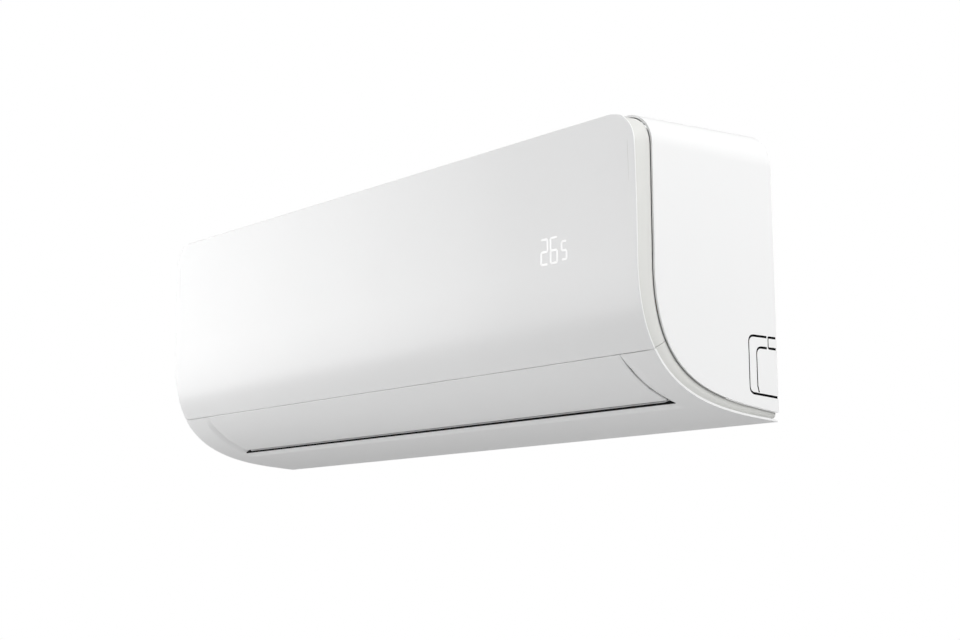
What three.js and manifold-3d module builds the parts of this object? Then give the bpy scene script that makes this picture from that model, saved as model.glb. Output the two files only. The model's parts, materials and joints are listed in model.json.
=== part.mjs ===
// The indoor unit of a split air conditioner, wall hung, in millimetres.
// While it is built, X runs along the unit, to the right as seen from the room, Y = 0 is the wall with
// the room towards -Y, and Z = 0 is the height of the casing's lower rear edge. The exported group is
// lowered at the end, so that its origin is the middle of the mounting plate's back.
import * as THREE from "three";
import { mergeVertices } from "three/addons/utils/BufferGeometryUtils.js";
import Module from "manifold-3d";

const wasm = await Module();
wasm.setup();

// ---- Whole unit ----
const unitWidth = 965;
const faceDepth = 208.3; // from the wall to the fascia's face at mid height
const rearTop = 327; // height of the casing's top edge at the wall
const frontTop = 320.7; // height of the casing's top edge at its front
const wallGap = 1; // between the casing's back edge and the wall
const fitGap = 0.4; // between pieces that are fitted together
const seamGap = 1; // between the fascia panel and the lower frame

// ---- Fascia: the side-view line of the room side, top to bottom ----
const fasciaTop = 317;
const browLean = 3.2; // how far the top edge leans out beyond the face
const chinTop = 172; // where the face starts to curl under
const chinBulge = 4.7;
const chinPull = 129;
const curlSetback = 59.3; // from the face back to the handle that shapes the curl
const curlRise = 12;
const heelDepth = 34; // from the wall to where the curl runs out
const heelRise = 4.2;
const tailDepth = 3; // from the wall to the underside's rear edge
const tailRise = 2;
const fasciaSheet = 2.6;
const lipSheet = 3;
const lipReach = 12; // how far the lip runs past the louver's ends
const fasciaCornerRadius = 35;
const seamHeight = 65; // where the opening panel ends and the lower frame starts

// ---- Neck: the slanted band between the fascia's edge and the casing ----
const neckSteps = [[25, -10], [27, 11], [16, 15.7], [-12.5, 12.9]]; // from the curl's four handles
const neckTailStep = 10.3; // from the tail of the fascia up to the tail of the seam
const neckWall = 2;
const neckFrontInset = 9.5;
const neckBackInset = 3.5;
const neckFlange = 5; // how far the lower neck runs on inside the casing

// ---- Casing ----
const casingWall = 2.5;
const casingCornerRadius = 38;
const grilleRows = 7;
const grilleColumns = 7;
const grilleBar = 5;
const grilleEndMargin = 42;
const grilleFrontMargin = 16;
const grilleRearMargin = 14;
const knockoutSlit = 1.3;
const knockoutBottom = 27;
const knockoutTop = 94;
const knockoutDepth = 46; // how far it reaches forward from the wall
const knockoutStep = 12; // from the large outline to the small one
const knockoutRadius = 9;
const knockoutTab = 14;
const knockoutBridge = 3;
const knockoutRearLand = 1.6;

// ---- Fan, duct and coil ----
const leftRoom = 54.5; // from the unit's left end to the outlet duct
const rightRoom = 46.5; // from the outlet duct to the unit's right end
const bayRoom = 110.5; // right of the partition, for the motor, the pipes and the electrics
const fanBackRoom = 44; // from the wall to the fan
const fanFrontRoom = 60.3; // from the fan to the fascia's face
const fanHeight = 138;
const fanLeftGap = 8;
const fanRightGap = 6;
const fanDiscSheet = 3;
const fanBladeDepth = 12;
const fanBlades = 14;
const fanDiscs = 4;
const fanHub = 11;
const shaftRadius = 4;
const bearingRadius = 12;
const ductWall = 2.5;
const partitionGap = 2; // from the vanes up to the partition's lower edge
const scrollGap = 14;
const scrollDrop = 21.4; // from the rear coil's foot down to the scroll's upper edge
const lipSetback = 91.3; // from the face back to the underside's front edge
const lipLength = 12;
const coilLeftGap = 6; // for the return bends at the left
const coilRightGap = 22; // for the return bends and the pipes at the right
const coilThickness = 23;
const coilFanGap = 4;
const coilBottom = 98;
const coilKnee = 192;
const coilBend = 8;
const coilCrownStep = 6; // from the fan's axis forward to the coil's crown
const coilCrownHeight = 292;
const rearCoilTopStep = 16; // from the fan's axis back to the rear section's top
const rearCoilTopHeight = 286;
const rearCoilFootStep = 60; // from the fan's axis back to its foot
const rearCoilFootHeight = 210;
const coilEndSheet = 1.2;
const tubeRadius = 3.5;
const leftBends = [[0.1, 0.28], [0.42, 0.6], [0.74, 0.92]]; // shares of a section's height
const rightBends = [[0.32, 0.56], [0.68, 0.92]];

// ---- Pan, filters and inner front ----
const panWall = 2;
const panSlack = 1.5;
const panFloor = 91;
const panRim = 106;
const filterGap = 1;
const filterThickness = 3;
const filterFoot = 103;
const filterShoulder = 198;
const filterCrown = 309;
const filterRearStep = 34; // from the fan's axis back to the filters' rear edges
const filterRib = 8;
const filterMesh = 0.8;
const filterWindow = 64; // height of one window of the net, ribs included, at most
const filterColumns = 4;
const filterTab = 36;
const filterSplitShift = -2; // of the post between the two filters, from the coil's middle
const filterPost = 8;
const frontPlate = 2.5;
const frontInset = 14.5; // from the unit's ends to the inner front's ends
const windowMargin = 9;
const windowTop = 290;
const plateTopEdge = 296;

// ---- Panel hinge ----
const hingeSetback = 18.3; // behind the face
const hingeHeight = 300;
const hingePin = 2.5;
const hingeEar = 6;
const armWidth = 3;
const armFall = 26; // from the hinge down to the arm's root

// ---- Louver ----
const louverInset = 6; // from the duct's ends to the blade's ends
const louverEndGap = 2;
const louverSheet = 2.4;
const louverSink = 4; // how far its lower edge lies inside the fascia's line
const louverLipGap = 8; // from its lower edge to the underside's front edge
const louverPinSetback = 68.3; // behind the face
const louverPinHeight = 46;
const louverPinRadius = 2.5;
const cheekStart = 4;
const cheekFlare = 28; // how much wider the recess is at the bottom than at the seam

// ---- Vanes in the outlet ----
const vanesPerBank = 5;
const vaneEndRoom = 63; // from the duct's ends to the outermost vanes
const vaneSheet = 1.6;
const vaneHeight = 22;
const vaneNose = 10;
const vaneTail = 18;
const vaneArm = 12; // from a vane's axis to the link bar
const vaneLift = 1.5;
const linkBar = 3;

// ---- Motors and electrics ----
const motorRadius = 44;
const motorGap = 6; // from the partition to the motor
const motorLength = 54;
const motorBoss = 16;
const clampWidth = 14;
const stepperRadius = 10;
const stepperLength = 16;
const boxGap = 12; // from the partition to the control box
const boxWidth = 84;
const boxFrontGap = 7; // behind the coil's front
const boxRearDepth = 70;
const boxBottom = 194;
const boxTop = 304;
const boxWall = 2;
const displayShift = 19; // left of the partition
const displayHeight = 185;
const displayWidth = 62;
const displayTall = 52;
const displayThick = 6;
const buttonShift = 52; // right of the partition
const buttonHeight = 150;
const buttonRadius = 4;

// ---- Mounting plate, pipes and hose ----
const plateWidth = 700;
const plateHeight = 210;
const plateSheet = 1.5;
const plateMiddle = 188; // height of its centre
const plateHoleColumns = [-320, -165, 0, 165, 320];
const plateHoleMargin = 14;
const plateHoleRadius = 2.6;
const plateWindows = [95, 235]; // middles of its windows, to each side
const plateWindowWidth = 96;
const plateWindowFoot = 62; // below its centre
const plateWindowHead = 40; // above its centre
const hookReach = 90; // from the plate's ends to its hooks
const hookDrop = 22; // from the plate's top to its hooks
const hookWidth = 28;
const hookSheet = 2;
const backDepth = 9.5; // from the wall to the chassis's back
const channelTop = 84;
const gasRadius = 6.35;
const gasSleeve = 12;
const liquidRadius = 3.2;
const liquidSleeve = 8;
const sleeveGap = 1.7;
const channelTurn = 45; // from the bay's end to where the pipes enter the channel
const channelLead = 90; // from the bay's end to where they run straight
const sleeveShort = 70; // how far the foam stops before a pipe's end
const gasEnd = -250; // x of each pipe's end
const liquidEnd = -190;
const hoseRadius = 9;
const hoseRibs = 24;
const hosePitch = 16;
const hoseWall = 1.6;
const coverLeft = 250;
const coverWidth = 40;
const screwHead = 4;
const sensorClip = 16;
const sensorFoot = 236;
const pipeSteps = 28;
const sleeveSteps = 16;

const halfWidth = unitWidth / 2;
const ductLeft = leftRoom - halfWidth;
const ductRight = halfWidth - rightRoom;
const bayWall = halfWidth - bayRoom; // the partition between the fan and the motor
const louverLeft = ductLeft + louverInset;
const louverRight = ductRight - louverInset;
const vaneSpacing = (ductRight - ductLeft - 2 * vaneEndRoom) / (2 * vanesPerBank - 1);
const fanRadius = (faceDepth - fanFrontRoom - fanBackRoom) / 2;
const fanDepth = fanBackRoom + fanRadius;
const fanLeft = ductLeft + fanLeftGap;
const fanRight = bayWall - fanRightGap;
const coilLeft = ductLeft + coilLeftGap;
const coilRight = bayWall - coilRightGap;
const coilCrownDepth = fanDepth + coilCrownStep;
const rearCoilTopDepth = fanDepth - rearCoilTopStep;
const rearCoilFootDepth = fanDepth - rearCoilFootStep;
const filterRearDepth = fanDepth - filterRearStep;
const filterSplit = (coilLeft + coilRight) / 2 + filterSplitShift;
const lipDepth = faceDepth - lipSetback;
const hingeDepth = faceDepth - hingeSetback;
const hingeX = ductRight;
const motorLeft = bayWall + motorGap;
const boxLeft = bayWall + boxGap;
const displayX = bayWall - displayShift;
const buttonX = bayWall + buttonShift;
const fanAxis = new THREE.Vector2(-fanDepth, fanHeight);
const coilBack = -(fanDepth + fanRadius + coilFanGap);
const coilFront = coilBack - coilThickness;
const panFront = coilFront - panSlack - panWall;
const filterBack = panFront - filterGap;
const filterFront = filterBack - filterThickness;
const plateBack = filterFront - filterGap;
const plateFront = plateBack - frontPlate;
const louverAxis = new THREE.Vector2(louverPinSetback - faceDepth, louverPinHeight);
const boxFront = coilFront + boxFrontGap;
const frontReach = halfWidth - frontInset; // half of the inner front's width

const finishes = {
  white: { color: 0xf4f5f4, roughness: 0.32, metalness: 0 },
  matteWhite: { color: 0xe9eae8, roughness: 0.5, metalness: 0 },
  grey: { color: 0x6f7375, roughness: 0.55, metalness: 0 },
  black: { color: 0x1e1f20, roughness: 0.6, metalness: 0 },
  foam: { color: 0xd9d9d4, roughness: 0.85, metalness: 0 },
  zinc: { color: 0xb4b8ba, roughness: 0.4, metalness: 0.9 },
  steel: { color: 0x9a9da0, roughness: 0.3, metalness: 1 },
  fins: { color: 0xbfd0cf, roughness: 0.35, metalness: 0.9 },
  copper: { color: 0xb8734a, roughness: 0.3, metalness: 1 },
  brass: { color: 0xc0a050, roughness: 0.3, metalness: 1 },
  rubber: { color: 0x262626, roughness: 0.8, metalness: 0 },
  board: { color: 0x2f6b3c, roughness: 0.5, metalness: 0 },
};

// ---- Solids: making, joining and cutting ----

function solid(geometry) {
  const loose = geometry.index ? geometry.toNonIndexed() : geometry;
  const bare = new THREE.BufferGeometry();
  bare.setAttribute("position", loose.getAttribute("position"));
  const merged = mergeVertices(bare, 1e-3);
  return new wasm.Manifold(
    new wasm.Mesh({
      numProp: 3,
      vertProperties: merged.attributes.position.array,
      triVerts: new Uint32Array(merged.index.array),
    }),
  );
}

function join(first, ...others) {
  return others.reduce((sum, next) => sum.add(next), first);
}

function cut(first, ...others) {
  return others.reduce((rest, next) => rest.subtract(next), first);
}

function common(first, second) {
  return first.intersect(second);
}

function part(name, shape, finish) {
  const mesh = shape.getMesh();
  const geometry = new THREE.BufferGeometry();
  geometry.setAttribute("position", new THREE.BufferAttribute(mesh.vertProperties, 3));
  geometry.setIndex(new THREE.BufferAttribute(mesh.triVerts, 1));
  geometry.computeVertexNormals();
  const made = new THREE.Mesh(geometry, new THREE.MeshStandardMaterial(finish));
  made.name = name;
  return made;
}

function point(a, b) {
  return new THREE.Vector2(a, b);
}

function extruded(outline, depth, matrix) {
  const shape = outline instanceof THREE.Shape ? outline : new THREE.Shape(outline);
  const options = { depth, bevelEnabled: false, curveSegments: 6 };
  return solid(new THREE.ExtrudeGeometry(shape, options).applyMatrix4(matrix));
}

// An outline of (y, z) points between two x.
function alongX(outline, from, to) {
  const turn = new THREE.Matrix4().set(0, 0, 1, from, 1, 0, 0, 0, 0, 1, 0, 0, 0, 0, 0, 1);
  return extruded(outline, to - from, turn);
}

// An outline of (x, z) points between two y.
function alongY(outline, from, to) {
  const turn = new THREE.Matrix4().set(1, 0, 0, 0, 0, 0, -1, to, 0, 1, 0, 0, 0, 0, 0, 1);
  return extruded(outline, to - from, turn);
}

function box(x0, x1, y0, y1, z0, z1) {
  const geometry = new THREE.BoxGeometry(x1 - x0, y1 - y0, z1 - z0);
  return solid(geometry.translate((x0 + x1) / 2, (y0 + y1) / 2, (z0 + z1) / 2));
}

// A round bar along X through (y, z), between two x.
function barX(radius, centre, from, to, sides = 20) {
  const geometry = new THREE.CylinderGeometry(radius, radius, to - from, sides);
  return solid(geometry.rotateZ(-Math.PI / 2).translate((from + to) / 2, centre.x, centre.y));
}

// A round bar along Y through (x, z), between two y.
function barY(radius, x, z, from, to, sides = 16) {
  const geometry = new THREE.CylinderGeometry(radius, radius, to - from, sides);
  return solid(geometry.translate(x, (from + to) / 2, z));
}

// Skins a row of like rings of points into one closed solid with flat ends.
function loft(rings) {
  const size = rings[0].length;
  const last = (rings.length - 1) * size;
  const faces = [];
  for (let start = 0; start < last; start += size) {
    for (let i = 0; i < size; i += 1) {
      const a = start + i;
      const b = start + ((i + 1) % size);
      faces.push([a, b, b + size], [a, b + size, a + size]);
    }
  }
  for (let i = 1; i + 1 < size; i += 1) {
    faces.push([0, i + 1, i], [last, last + i, last + i + 1]);
  }
  const vertProperties = new Float32Array(rings.flat().flatMap((p) => p.toArray()));
  const made = (list) =>
    new wasm.Manifold(new wasm.Mesh({ numProp: 3, vertProperties, triVerts: new Uint32Array(list.flat()) }));
  const first = made(faces);
  return first.volume() > 0 ? first : made(faces.map(([a, b, c]) => [a, c, b]));
}

// The left-hand normals of a line of points, walked from its first to its last.
function normals(line) {
  return line.map((_, i) => {
    const before = line[Math.max(i - 1, 0)];
    const after = line[Math.min(i + 1, line.length - 1)];
    const along = after.clone().sub(before).normalize();
    return point(-along.y, along.x);
  });
}

function offset(line, distance) {
  return normals(line).map((normal, i) => line[i].clone().addScaledVector(normal, distance));
}

// The outline of a wall on the left-hand side of a line of points.
function wallAlong(line, thickness) {
  return [...line, ...offset(line, thickness).reverse()];
}

// ---- The two side-view lines that give the unit its profile ----

const fasciaHandles = [
  point(-faceDepth, chinTop),
  point(-(faceDepth + chinBulge), chinTop - chinPull),
  point(curlSetback - faceDepth, curlRise),
  point(-heelDepth, heelRise),
];
const seamHandles = fasciaHandles.map((handle, i) => handle.clone().add(point(...neckSteps[i])));
const fasciaCurl = new THREE.CubicBezierCurve(...fasciaHandles);
const seamCurl = new THREE.CubicBezierCurve(...seamHandles);

// The place along a curl where its height, or its depth, passes a value.
function placeWhere(curl, axis, value) {
  let low = 0;
  let high = 1;
  const rising = curl.getPoint(1)[axis] > curl.getPoint(0)[axis];
  for (let i = 0; i < 40; i += 1) {
    const middle = (low + high) / 2;
    if (curl.getPoint(middle)[axis] < value === rising) low = middle;
    else high = middle;
  }
  return low;
}

function stretch(curl, from, to, steps) {
  return Array.from({ length: steps + 1 }, (_, i) => curl.getPoint(from + ((to - from) * i) / steps));
}

const seamPlace = placeWhere(fasciaCurl, "y", seamHeight);
const seamHalf = seamGap / 2 / fasciaCurl.getLength();
const lipPlace = placeWhere(fasciaCurl, "x", -lipDepth);
const louverEndPlace = placeWhere(fasciaCurl, "x", -(lipDepth + louverLipGap));
const tail = point(-tailDepth, tailRise);
const seamTail = point(-tailDepth, tailRise + neckTailStep);

// The upright stretch of the fascia, from its leaning top edge to the start of the curl.
function browLine() {
  const brow = new THREE.QuadraticBezierCurve(
    point(-(faceDepth + browLean), fasciaTop),
    point(-faceDepth, (fasciaTop + chinTop) / 2),
    fasciaHandles[0],
  );
  return brow.getPoints(6).slice(0, -1);
}

const panelLine = [...browLine(), ...stretch(fasciaCurl, 0, seamPlace - seamHalf, 12)];
const underLine = [...stretch(fasciaCurl, lipPlace, 1, 8), tail];

// ---- Casing ----

// The front view of a wall round the sides and top, open below, with rounded upper corners.
function hoodOutline(half, top, radius, wall) {
  const shape = new THREE.Shape();
  shape.moveTo(half, 0);
  shape.lineTo(half, top - radius);
  shape.absarc(half - radius, top - radius, radius, 0, Math.PI / 2, false);
  shape.lineTo(radius - half, top);
  shape.absarc(radius - half, top - radius, radius, Math.PI / 2, Math.PI, false);
  shape.lineTo(-half, 0);
  if (wall) {
    const inner = radius - wall;
    shape.lineTo(wall - half, 0);
    shape.lineTo(wall - half, top - radius);
    shape.absarc(radius - half, top - radius, inner, Math.PI, Math.PI / 2, true);
    shape.lineTo(half - radius, top - wall);
    shape.absarc(half - radius, top - radius, inner, Math.PI / 2, 0, true);
    shape.lineTo(half - wall, 0);
  }
  return shape;
}

const casingFront = -(faceDepth - neckSteps[0][0]);
const roofSlope = (rearTop - frontTop) / (-wallGap - casingFront);

function roofHeight(y) {
  return frontTop + (y - casingFront) * roofSlope;
}

function grilleCutter() {
  const left = -halfWidth + grilleEndMargin;
  const pitchX = (unitWidth - 2 * grilleEndMargin + grilleBar) / grilleColumns;
  const front = casingFront + grilleFrontMargin;
  const pitchY = (-wallGap - grilleRearMargin - front + grilleBar) / grilleRows;
  const slots = [];
  for (let row = 0; row < grilleRows; row += 1) {
    for (let column = 0; column < grilleColumns; column += 1) {
      const x = left + column * pitchX;
      const y = front + row * pitchY;
      slots.push(box(x, x + pitchX - grilleBar, y, y + pitchY - grilleBar, frontTop - 20, rearTop + 20));
    }
  }
  return wasm.Manifold.compose(slots);
}

// A knock-out's slit: up from the bottom, round two corners and back to the wall, in side view.
function knockoutLine(reach, bottom, top, start, end) {
  const path = new THREE.Path();
  path.moveTo(-start, bottom);
  path.lineTo(-(reach - knockoutRadius), bottom + 2);
  path.quadraticCurveTo(-reach, bottom + 2, -reach, bottom + knockoutRadius + 2);
  path.lineTo(-reach, top - knockoutRadius);
  path.quadraticCurveTo(-reach, top, -(reach - knockoutRadius), top);
  path.lineTo(-end, top);
  return path.getPoints(4);
}

function slitCutter(line) {
  return alongX(wallAlong(line, knockoutSlit), -halfWidth - 5, halfWidth + 5);
}

function knockoutCutters() {
  const rear = wallGap + knockoutRearLand;
  const bridgeStart = knockoutTab + knockoutBridge;
  const innerTop = knockoutTop - knockoutStep;
  const innerReach = knockoutDepth - knockoutStep;
  const innerStart = innerReach - knockoutRadius;
  const innerBottom = knockoutBottom + knockoutSlit + 1;
  return [
    slitCutter(knockoutLine(knockoutDepth, knockoutBottom, knockoutTop, rear, bridgeStart)),
    slitCutter(knockoutLine(innerReach, innerBottom, innerTop, innerStart, bridgeStart)),
    slitCutter([point(-knockoutTab, knockoutTop), point(-rear, knockoutTop)]),
    slitCutter([point(-knockoutTab, innerTop), point(-rear, innerTop)]),
    slitCutter([point(-knockoutTab, knockoutTop), point(-knockoutTab, innerTop - knockoutSlit)]),
  ];
}

function casing() {
  const drop = -casingFront * roofSlope;
  const skew = new THREE.Matrix4().set(1, 0, 0, 0, 0, 1, 0, 0, 0, roofSlope, 1, drop, 0, 0, 0, 1);
  const hood = hoodOutline(halfWidth, frontTop, casingCornerRadius, casingWall);
  const turn = new THREE.Matrix4().set(1, 0, 0, 0, 0, 0, -1, -wallGap, 0, 1, 0, 0, 0, 0, 0, 1);
  const shell = extruded(hood, -wallGap - casingFront, skew.multiply(turn));
  const side = [
    point(-wallGap, seamTail.y),
    point(-wallGap, rearTop + 10),
    point(casingFront, rearTop + 10),
    ...stretch(seamCurl, 0, 1, 16),
  ];
  return cut(common(shell, alongX(side, -halfWidth, halfWidth)), grilleCutter(), ...knockoutCutters());
}

// ---- Neck ----

// One cross-section of the neck's wall: outer front, outer back, inner back and inner front.
function neckRing(front, back, inward) {
  const inside = inward.clone().multiplyScalar(neckWall);
  return [front, back, back.clone().add(inside), front.clone().add(inside)];
}

function sideRing(side, curlPlace) {
  const face = fasciaCurl.getPoint(curlPlace);
  const sheetNormal = point(-fasciaCurl.getTangent(curlPlace).y, fasciaCurl.getTangent(curlPlace).x);
  const root = face.addScaledVector(sheetNormal, fasciaSheet / 2);
  const edge = seamCurl.getPoint(curlPlace);
  return neckRing(
    new THREE.Vector3(side * (halfWidth - neckFrontInset), root.x, root.y),
    new THREE.Vector3(side * (halfWidth - neckBackInset), edge.x, edge.y),
    new THREE.Vector3(-side, 0, 0),
  );
}

// The neck behind the opening panel: up one side, over the top and down the other.
function upperNeck() {
  const rings = [];
  const lowest = seamPlace - seamHalf;
  for (let i = 0; i <= 8; i += 1) rings.push(sideRing(1, lowest * (1 - i / 8)));
  const topFront = fasciaTop - neckFrontInset;
  const topBack = frontTop - neckBackInset;
  const frontRadius = fasciaCornerRadius - neckFrontInset;
  const backRadius = casingCornerRadius - neckBackInset;
  const frontY = -(faceDepth + browLean - fasciaSheet / 2);
  const corner = (side, angle) => {
    const x = Math.cos(angle);
    const z = Math.sin(angle);
    return neckRing(
      new THREE.Vector3(
        side * (halfWidth - neckFrontInset - frontRadius * (1 - x)),
        frontY,
        topFront - frontRadius * (1 - z),
      ),
      new THREE.Vector3(
        side * (halfWidth - neckBackInset - backRadius * (1 - x)),
        casingFront,
        topBack - backRadius * (1 - z),
      ),
      new THREE.Vector3(-side * x, 0, -z),
    );
  };
  for (let i = 0; i <= 6; i += 1) rings.push(corner(1, (Math.PI / 2) * (i / 6)));
  for (let i = 6; i >= 0; i -= 1) rings.push(corner(-1, (Math.PI / 2) * (i / 6)));
  for (let i = 0; i <= 8; i += 1) rings.push(sideRing(-1, (lowest * i) / 8));
  return loft(rings);
}

// The neck below the seam, on one side, with the flange that hides inside the casing.
function lowerNeck(side) {
  const rings = [];
  const highest = seamPlace + seamHalf;
  for (let i = 0; i <= 12; i += 1) rings.push(sideRing(side, highest + ((1 - highest) * i) / 12));
  const tailRing = neckRing(
    new THREE.Vector3(side * (halfWidth - neckFrontInset), tail.x, tail.y + fasciaSheet / 2),
    new THREE.Vector3(side * (halfWidth - neckBackInset), seamTail.x, seamTail.y),
    new THREE.Vector3(-side, 0, 0),
  );
  rings.push(tailRing);
  const edge = [...stretch(seamCurl, highest + seamHalf, 1, 12), seamTail];
  const inner = halfWidth - neckBackInset - neckWall;
  const flange = wallAlong(offset(edge, -neckWall), neckFlange + neckWall);
  const ends = side > 0 ? [inner, inner + neckWall] : [-inner - neckWall, -inner];
  return join(loft(rings), alongX(flange, ...ends));
}

// ---- Front panel ----

function frontPanel() {
  const reach = [-(faceDepth + 2 * chinBulge), -faceDepth / 2];
  const sheet = common(
    alongX(wallAlong(panelLine, fasciaSheet), -halfWidth, halfWidth),
    alongY(hoodOutline(halfWidth, fasciaTop, fasciaCornerRadius, 0), ...reach),
  );
  const hinge = point(-hingeDepth, hingeHeight);
  const arm = new THREE.Shape([
    point(-faceDepth, hingeHeight - armFall),
    point(-hingeDepth + hingePin + 1, hingeHeight - hingePin - 1),
    point(-hingeDepth + hingePin + 1, hingeHeight + hingePin + 1),
    point(-faceDepth, hingeHeight + hingePin + 1),
  ]);
  const arms = [1, -1].map((side) => {
    const inner = side * (hingeX - fitGap - armWidth);
    const outer = side * (hingeX - fitGap);
    const plate = alongX(arm, Math.min(inner, outer), Math.max(inner, outer));
    const tip = side * (hingeX + armWidth);
    return join(plate, barX(hingePin, hinge, Math.min(inner, tip), Math.max(inner, tip), 16));
  });
  return join(sheet, upperNeck(), ...arms);
}

// ---- Lower frame with the outlet's mouth and the inner front ----

function louverLine() {
  const steps = 12;
  const line = stretch(fasciaCurl, seamPlace + seamHalf, louverEndPlace, steps);
  return normals(line).map((normal, i) => {
    const sunk = louverSink * (i / steps) ** 2;
    return line[i].clone().addScaledVector(normal, sunk);
  });
}

// The scooped cheek beside one end of the louver, from the fascia's face in to the louver's line.
function cheek(side) {
  const end = (side > 0 ? louverRight + louverEndGap : louverLeft - louverEndGap) + side * 0.6;
  const steps = 9;
  const outerLine = stretch(fasciaCurl, seamPlace + 2 * seamHalf, lipPlace + seamHalf, steps);
  const inward = normals(outerLine);
  const rings = outerLine.map((onFace, i) => {
    const share = i / steps;
    const width = cheekStart + cheekFlare * Math.sqrt(share);
    const depth = (louverSink + louverSheet) * share + 0.9;
    const inside = onFace.clone().addScaledVector(inward[i], depth);
    const outside = onFace.clone().addScaledVector(inward[i], 0.5);
    const back = depth + fasciaSheet;
    const behindInside = onFace.clone().addScaledVector(inward[i], back);
    const behindOutside = onFace.clone().addScaledVector(inward[i], fasciaSheet + 2);
    return [
      new THREE.Vector3(end + side * (width + 1), outside.x, outside.y),
      new THREE.Vector3(end, inside.x, inside.y),
      new THREE.Vector3(end, behindInside.x, behindInside.y),
      new THREE.Vector3(end + side * (width + 2), behindOutside.x, behindOutside.y),
    ];
  });
  return loft(rings);
}

// What is cut out of the lower sheet for the louver and its cheeks, wider towards the bottom.
function mouthCutter() {
  const steps = 12;
  const line = stretch(fasciaCurl, seamPlace + seamHalf, lipPlace, steps);
  const inward = normals(line);
  const rings = line.map((onFace, i) => {
    const width = cheekStart + cheekFlare * Math.sqrt(i / steps);
    const near = onFace.clone().addScaledVector(inward[i], -6);
    const far = onFace.clone().addScaledVector(inward[i], 12);
    const left = louverLeft - louverEndGap - width;
    const right = louverRight + louverEndGap + width;
    return [
      new THREE.Vector3(left, near.x, near.y),
      new THREE.Vector3(right, near.x, near.y),
      new THREE.Vector3(right, far.x, far.y),
      new THREE.Vector3(left, far.x, far.y),
    ];
  });
  const first = rings[0].map((p, i) => p.clone().sub(rings[1][i]).multiplyScalar(0.5).add(p));
  return loft([first, ...rings]);
}

function lip() {
  const start = fasciaCurl.getPoint(lipPlace);
  return point(start.x + lipLength / 2, start.y + (lipLength * Math.sqrt(3)) / 2);
}

// One side wall of the outlet's mouth, with the hole for the louver's pin.
function mouthWall(side) {
  const face = side > 0 ? louverRight + louverEndGap : louverLeft - louverEndGap;
  const inside = offset(stretch(fasciaCurl, seamPlace + seamHalf, lipPlace, 10), louverSink + fasciaSheet);
  const top = lip().add(point(lipSheet / 2, -1));
  const rear = [point(top.x - 6, top.y + 22), point(coilBack - 6, seamHeight + 13)];
  const outline = [...inside, top, ...rear, point(plateFront + 4, seamHeight + 5)];
  const from = side > 0 ? face : face - ductWall;
  const hole = barX(louverPinRadius + fitGap, louverAxis, from - 5, from + ductWall + 5, 16);
  return cut(alongX(outline, from, from + ductWall), hole);
}

function innerFront() {
  const face = box(-frontReach, frontReach, plateFront, plateBack, seamHeight + 7, plateTopEdge);
  const windows = filterSpans().map(([from, to]) => {
    const foot = filterFoot + windowMargin;
    return box(from + windowMargin, to - windowMargin, plateFront - 5, plateBack + 5, foot, windowTop);
  });
  const low = seamHeight + 1.5;
  const beam = box(-frontReach, frontReach, plateBack - 0.5, plateBack + 3, low, low + 8.5);
  const ears = [1, -1].map((side) => {
    const from = side > 0 ? hingeX : -hingeX - armWidth;
    const eye = barX(hingeEar, point(-hingeDepth, hingeHeight), from, from + armWidth, 16);
    const stalk = box(from, from + armWidth, -hingeDepth - 1, plateBack, hingeHeight - 24, hingeHeight - 3);
    const hole = barX(hingePin + fitGap, point(-hingeDepth, hingeHeight), from - 5, from + armWidth + 5, 16);
    return cut(join(eye, stalk), hole);
  });
  const buttonHole = barY(buttonRadius + fitGap, buttonX, buttonHeight, plateFront - 5, plateBack + 5);
  return cut(join(cut(face, ...windows), beam, ...ears), buttonHole);
}

function frontFrame() {
  const low = [...stretch(fasciaCurl, seamPlace + seamHalf, lipPlace, 12), ...underLine.slice(1)];
  const sheet = cut(alongX(wallAlong(low, fasciaSheet), -halfWidth, halfWidth), mouthCutter());
  const lipStart = fasciaCurl.getPoint(lipPlace).add(point(1.6, 0.4));
  const lipEnds = [louverLeft - louverEndGap - lipReach, louverRight + louverEndGap + lipReach];
  const lipOutline = wallAlong([lip(), lipStart], lipSheet);
  const lipCrown = lip().add(lipOutline[3]).multiplyScalar(0.5).add(point(0.3, 0.9));
  const lipWall = alongX([...lipOutline, lipCrown], ...lipEnds);
  const rearHalf = halfWidth - neckFrontInset;
  const rearWall = box(-rearHalf, rearHalf, -tailDepth - 2, -tailDepth, tailRise, seamTail.y);
  const shoulders = [1, -1].map((side) => {
    const ends = side > 0 ? [louverRight + 6, frontReach] : [-frontReach, louverLeft - 6];
    return box(...ends, plateBack, plateBack + 3, seamHeight - 4.5, seamHeight + 2);
  });
  return join(
    sheet,
    lipWall,
    rearWall,
    cheek(1),
    cheek(-1),
    mouthWall(1),
    mouthWall(-1),
    lowerNeck(1),
    lowerNeck(-1),
    ...shoulders,
    innerFront(),
  );
}

// ---- Louver ----

function louver() {
  const blade = alongX(wallAlong(louverLine(), louverSheet), louverLeft, louverRight);
  const middle = louverLine()[6];
  const lug = [
    point(middle.x - 9, middle.y + 9),
    point(middle.x + 14, middle.y - 8),
    point(louverAxis.x + 4, louverAxis.y - 4),
    point(louverAxis.x + 3, louverAxis.y + 4),
    point(louverAxis.x - 4, louverAxis.y + 4),
  ];
  const ends = [
    [louverLeft, louverLeft + 3, louverLeft - louverEndGap - ductWall],
    [louverRight - 3, louverRight, louverRight + louverEndGap + ductWall],
  ];
  const lugs = ends.map(([from, to, tip]) => {
    const pin = barX(louverPinRadius, louverAxis, Math.min(from, tip), Math.max(to, tip), 16);
    return join(alongX(lug, from, to), pin);
  });
  return join(blade, ...lugs);
}

function louverMotor() {
  const from = louverRight + louverEndGap + ductWall + fitGap;
  const can = barX(stepperRadius, louverAxis, from, from + stepperLength, 20);
  const flange = box(from, from + 1, louverAxis.x - 5, louverAxis.x + 5, louverAxis.y, louverAxis.y + 18);
  return join(can, flange);
}

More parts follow.
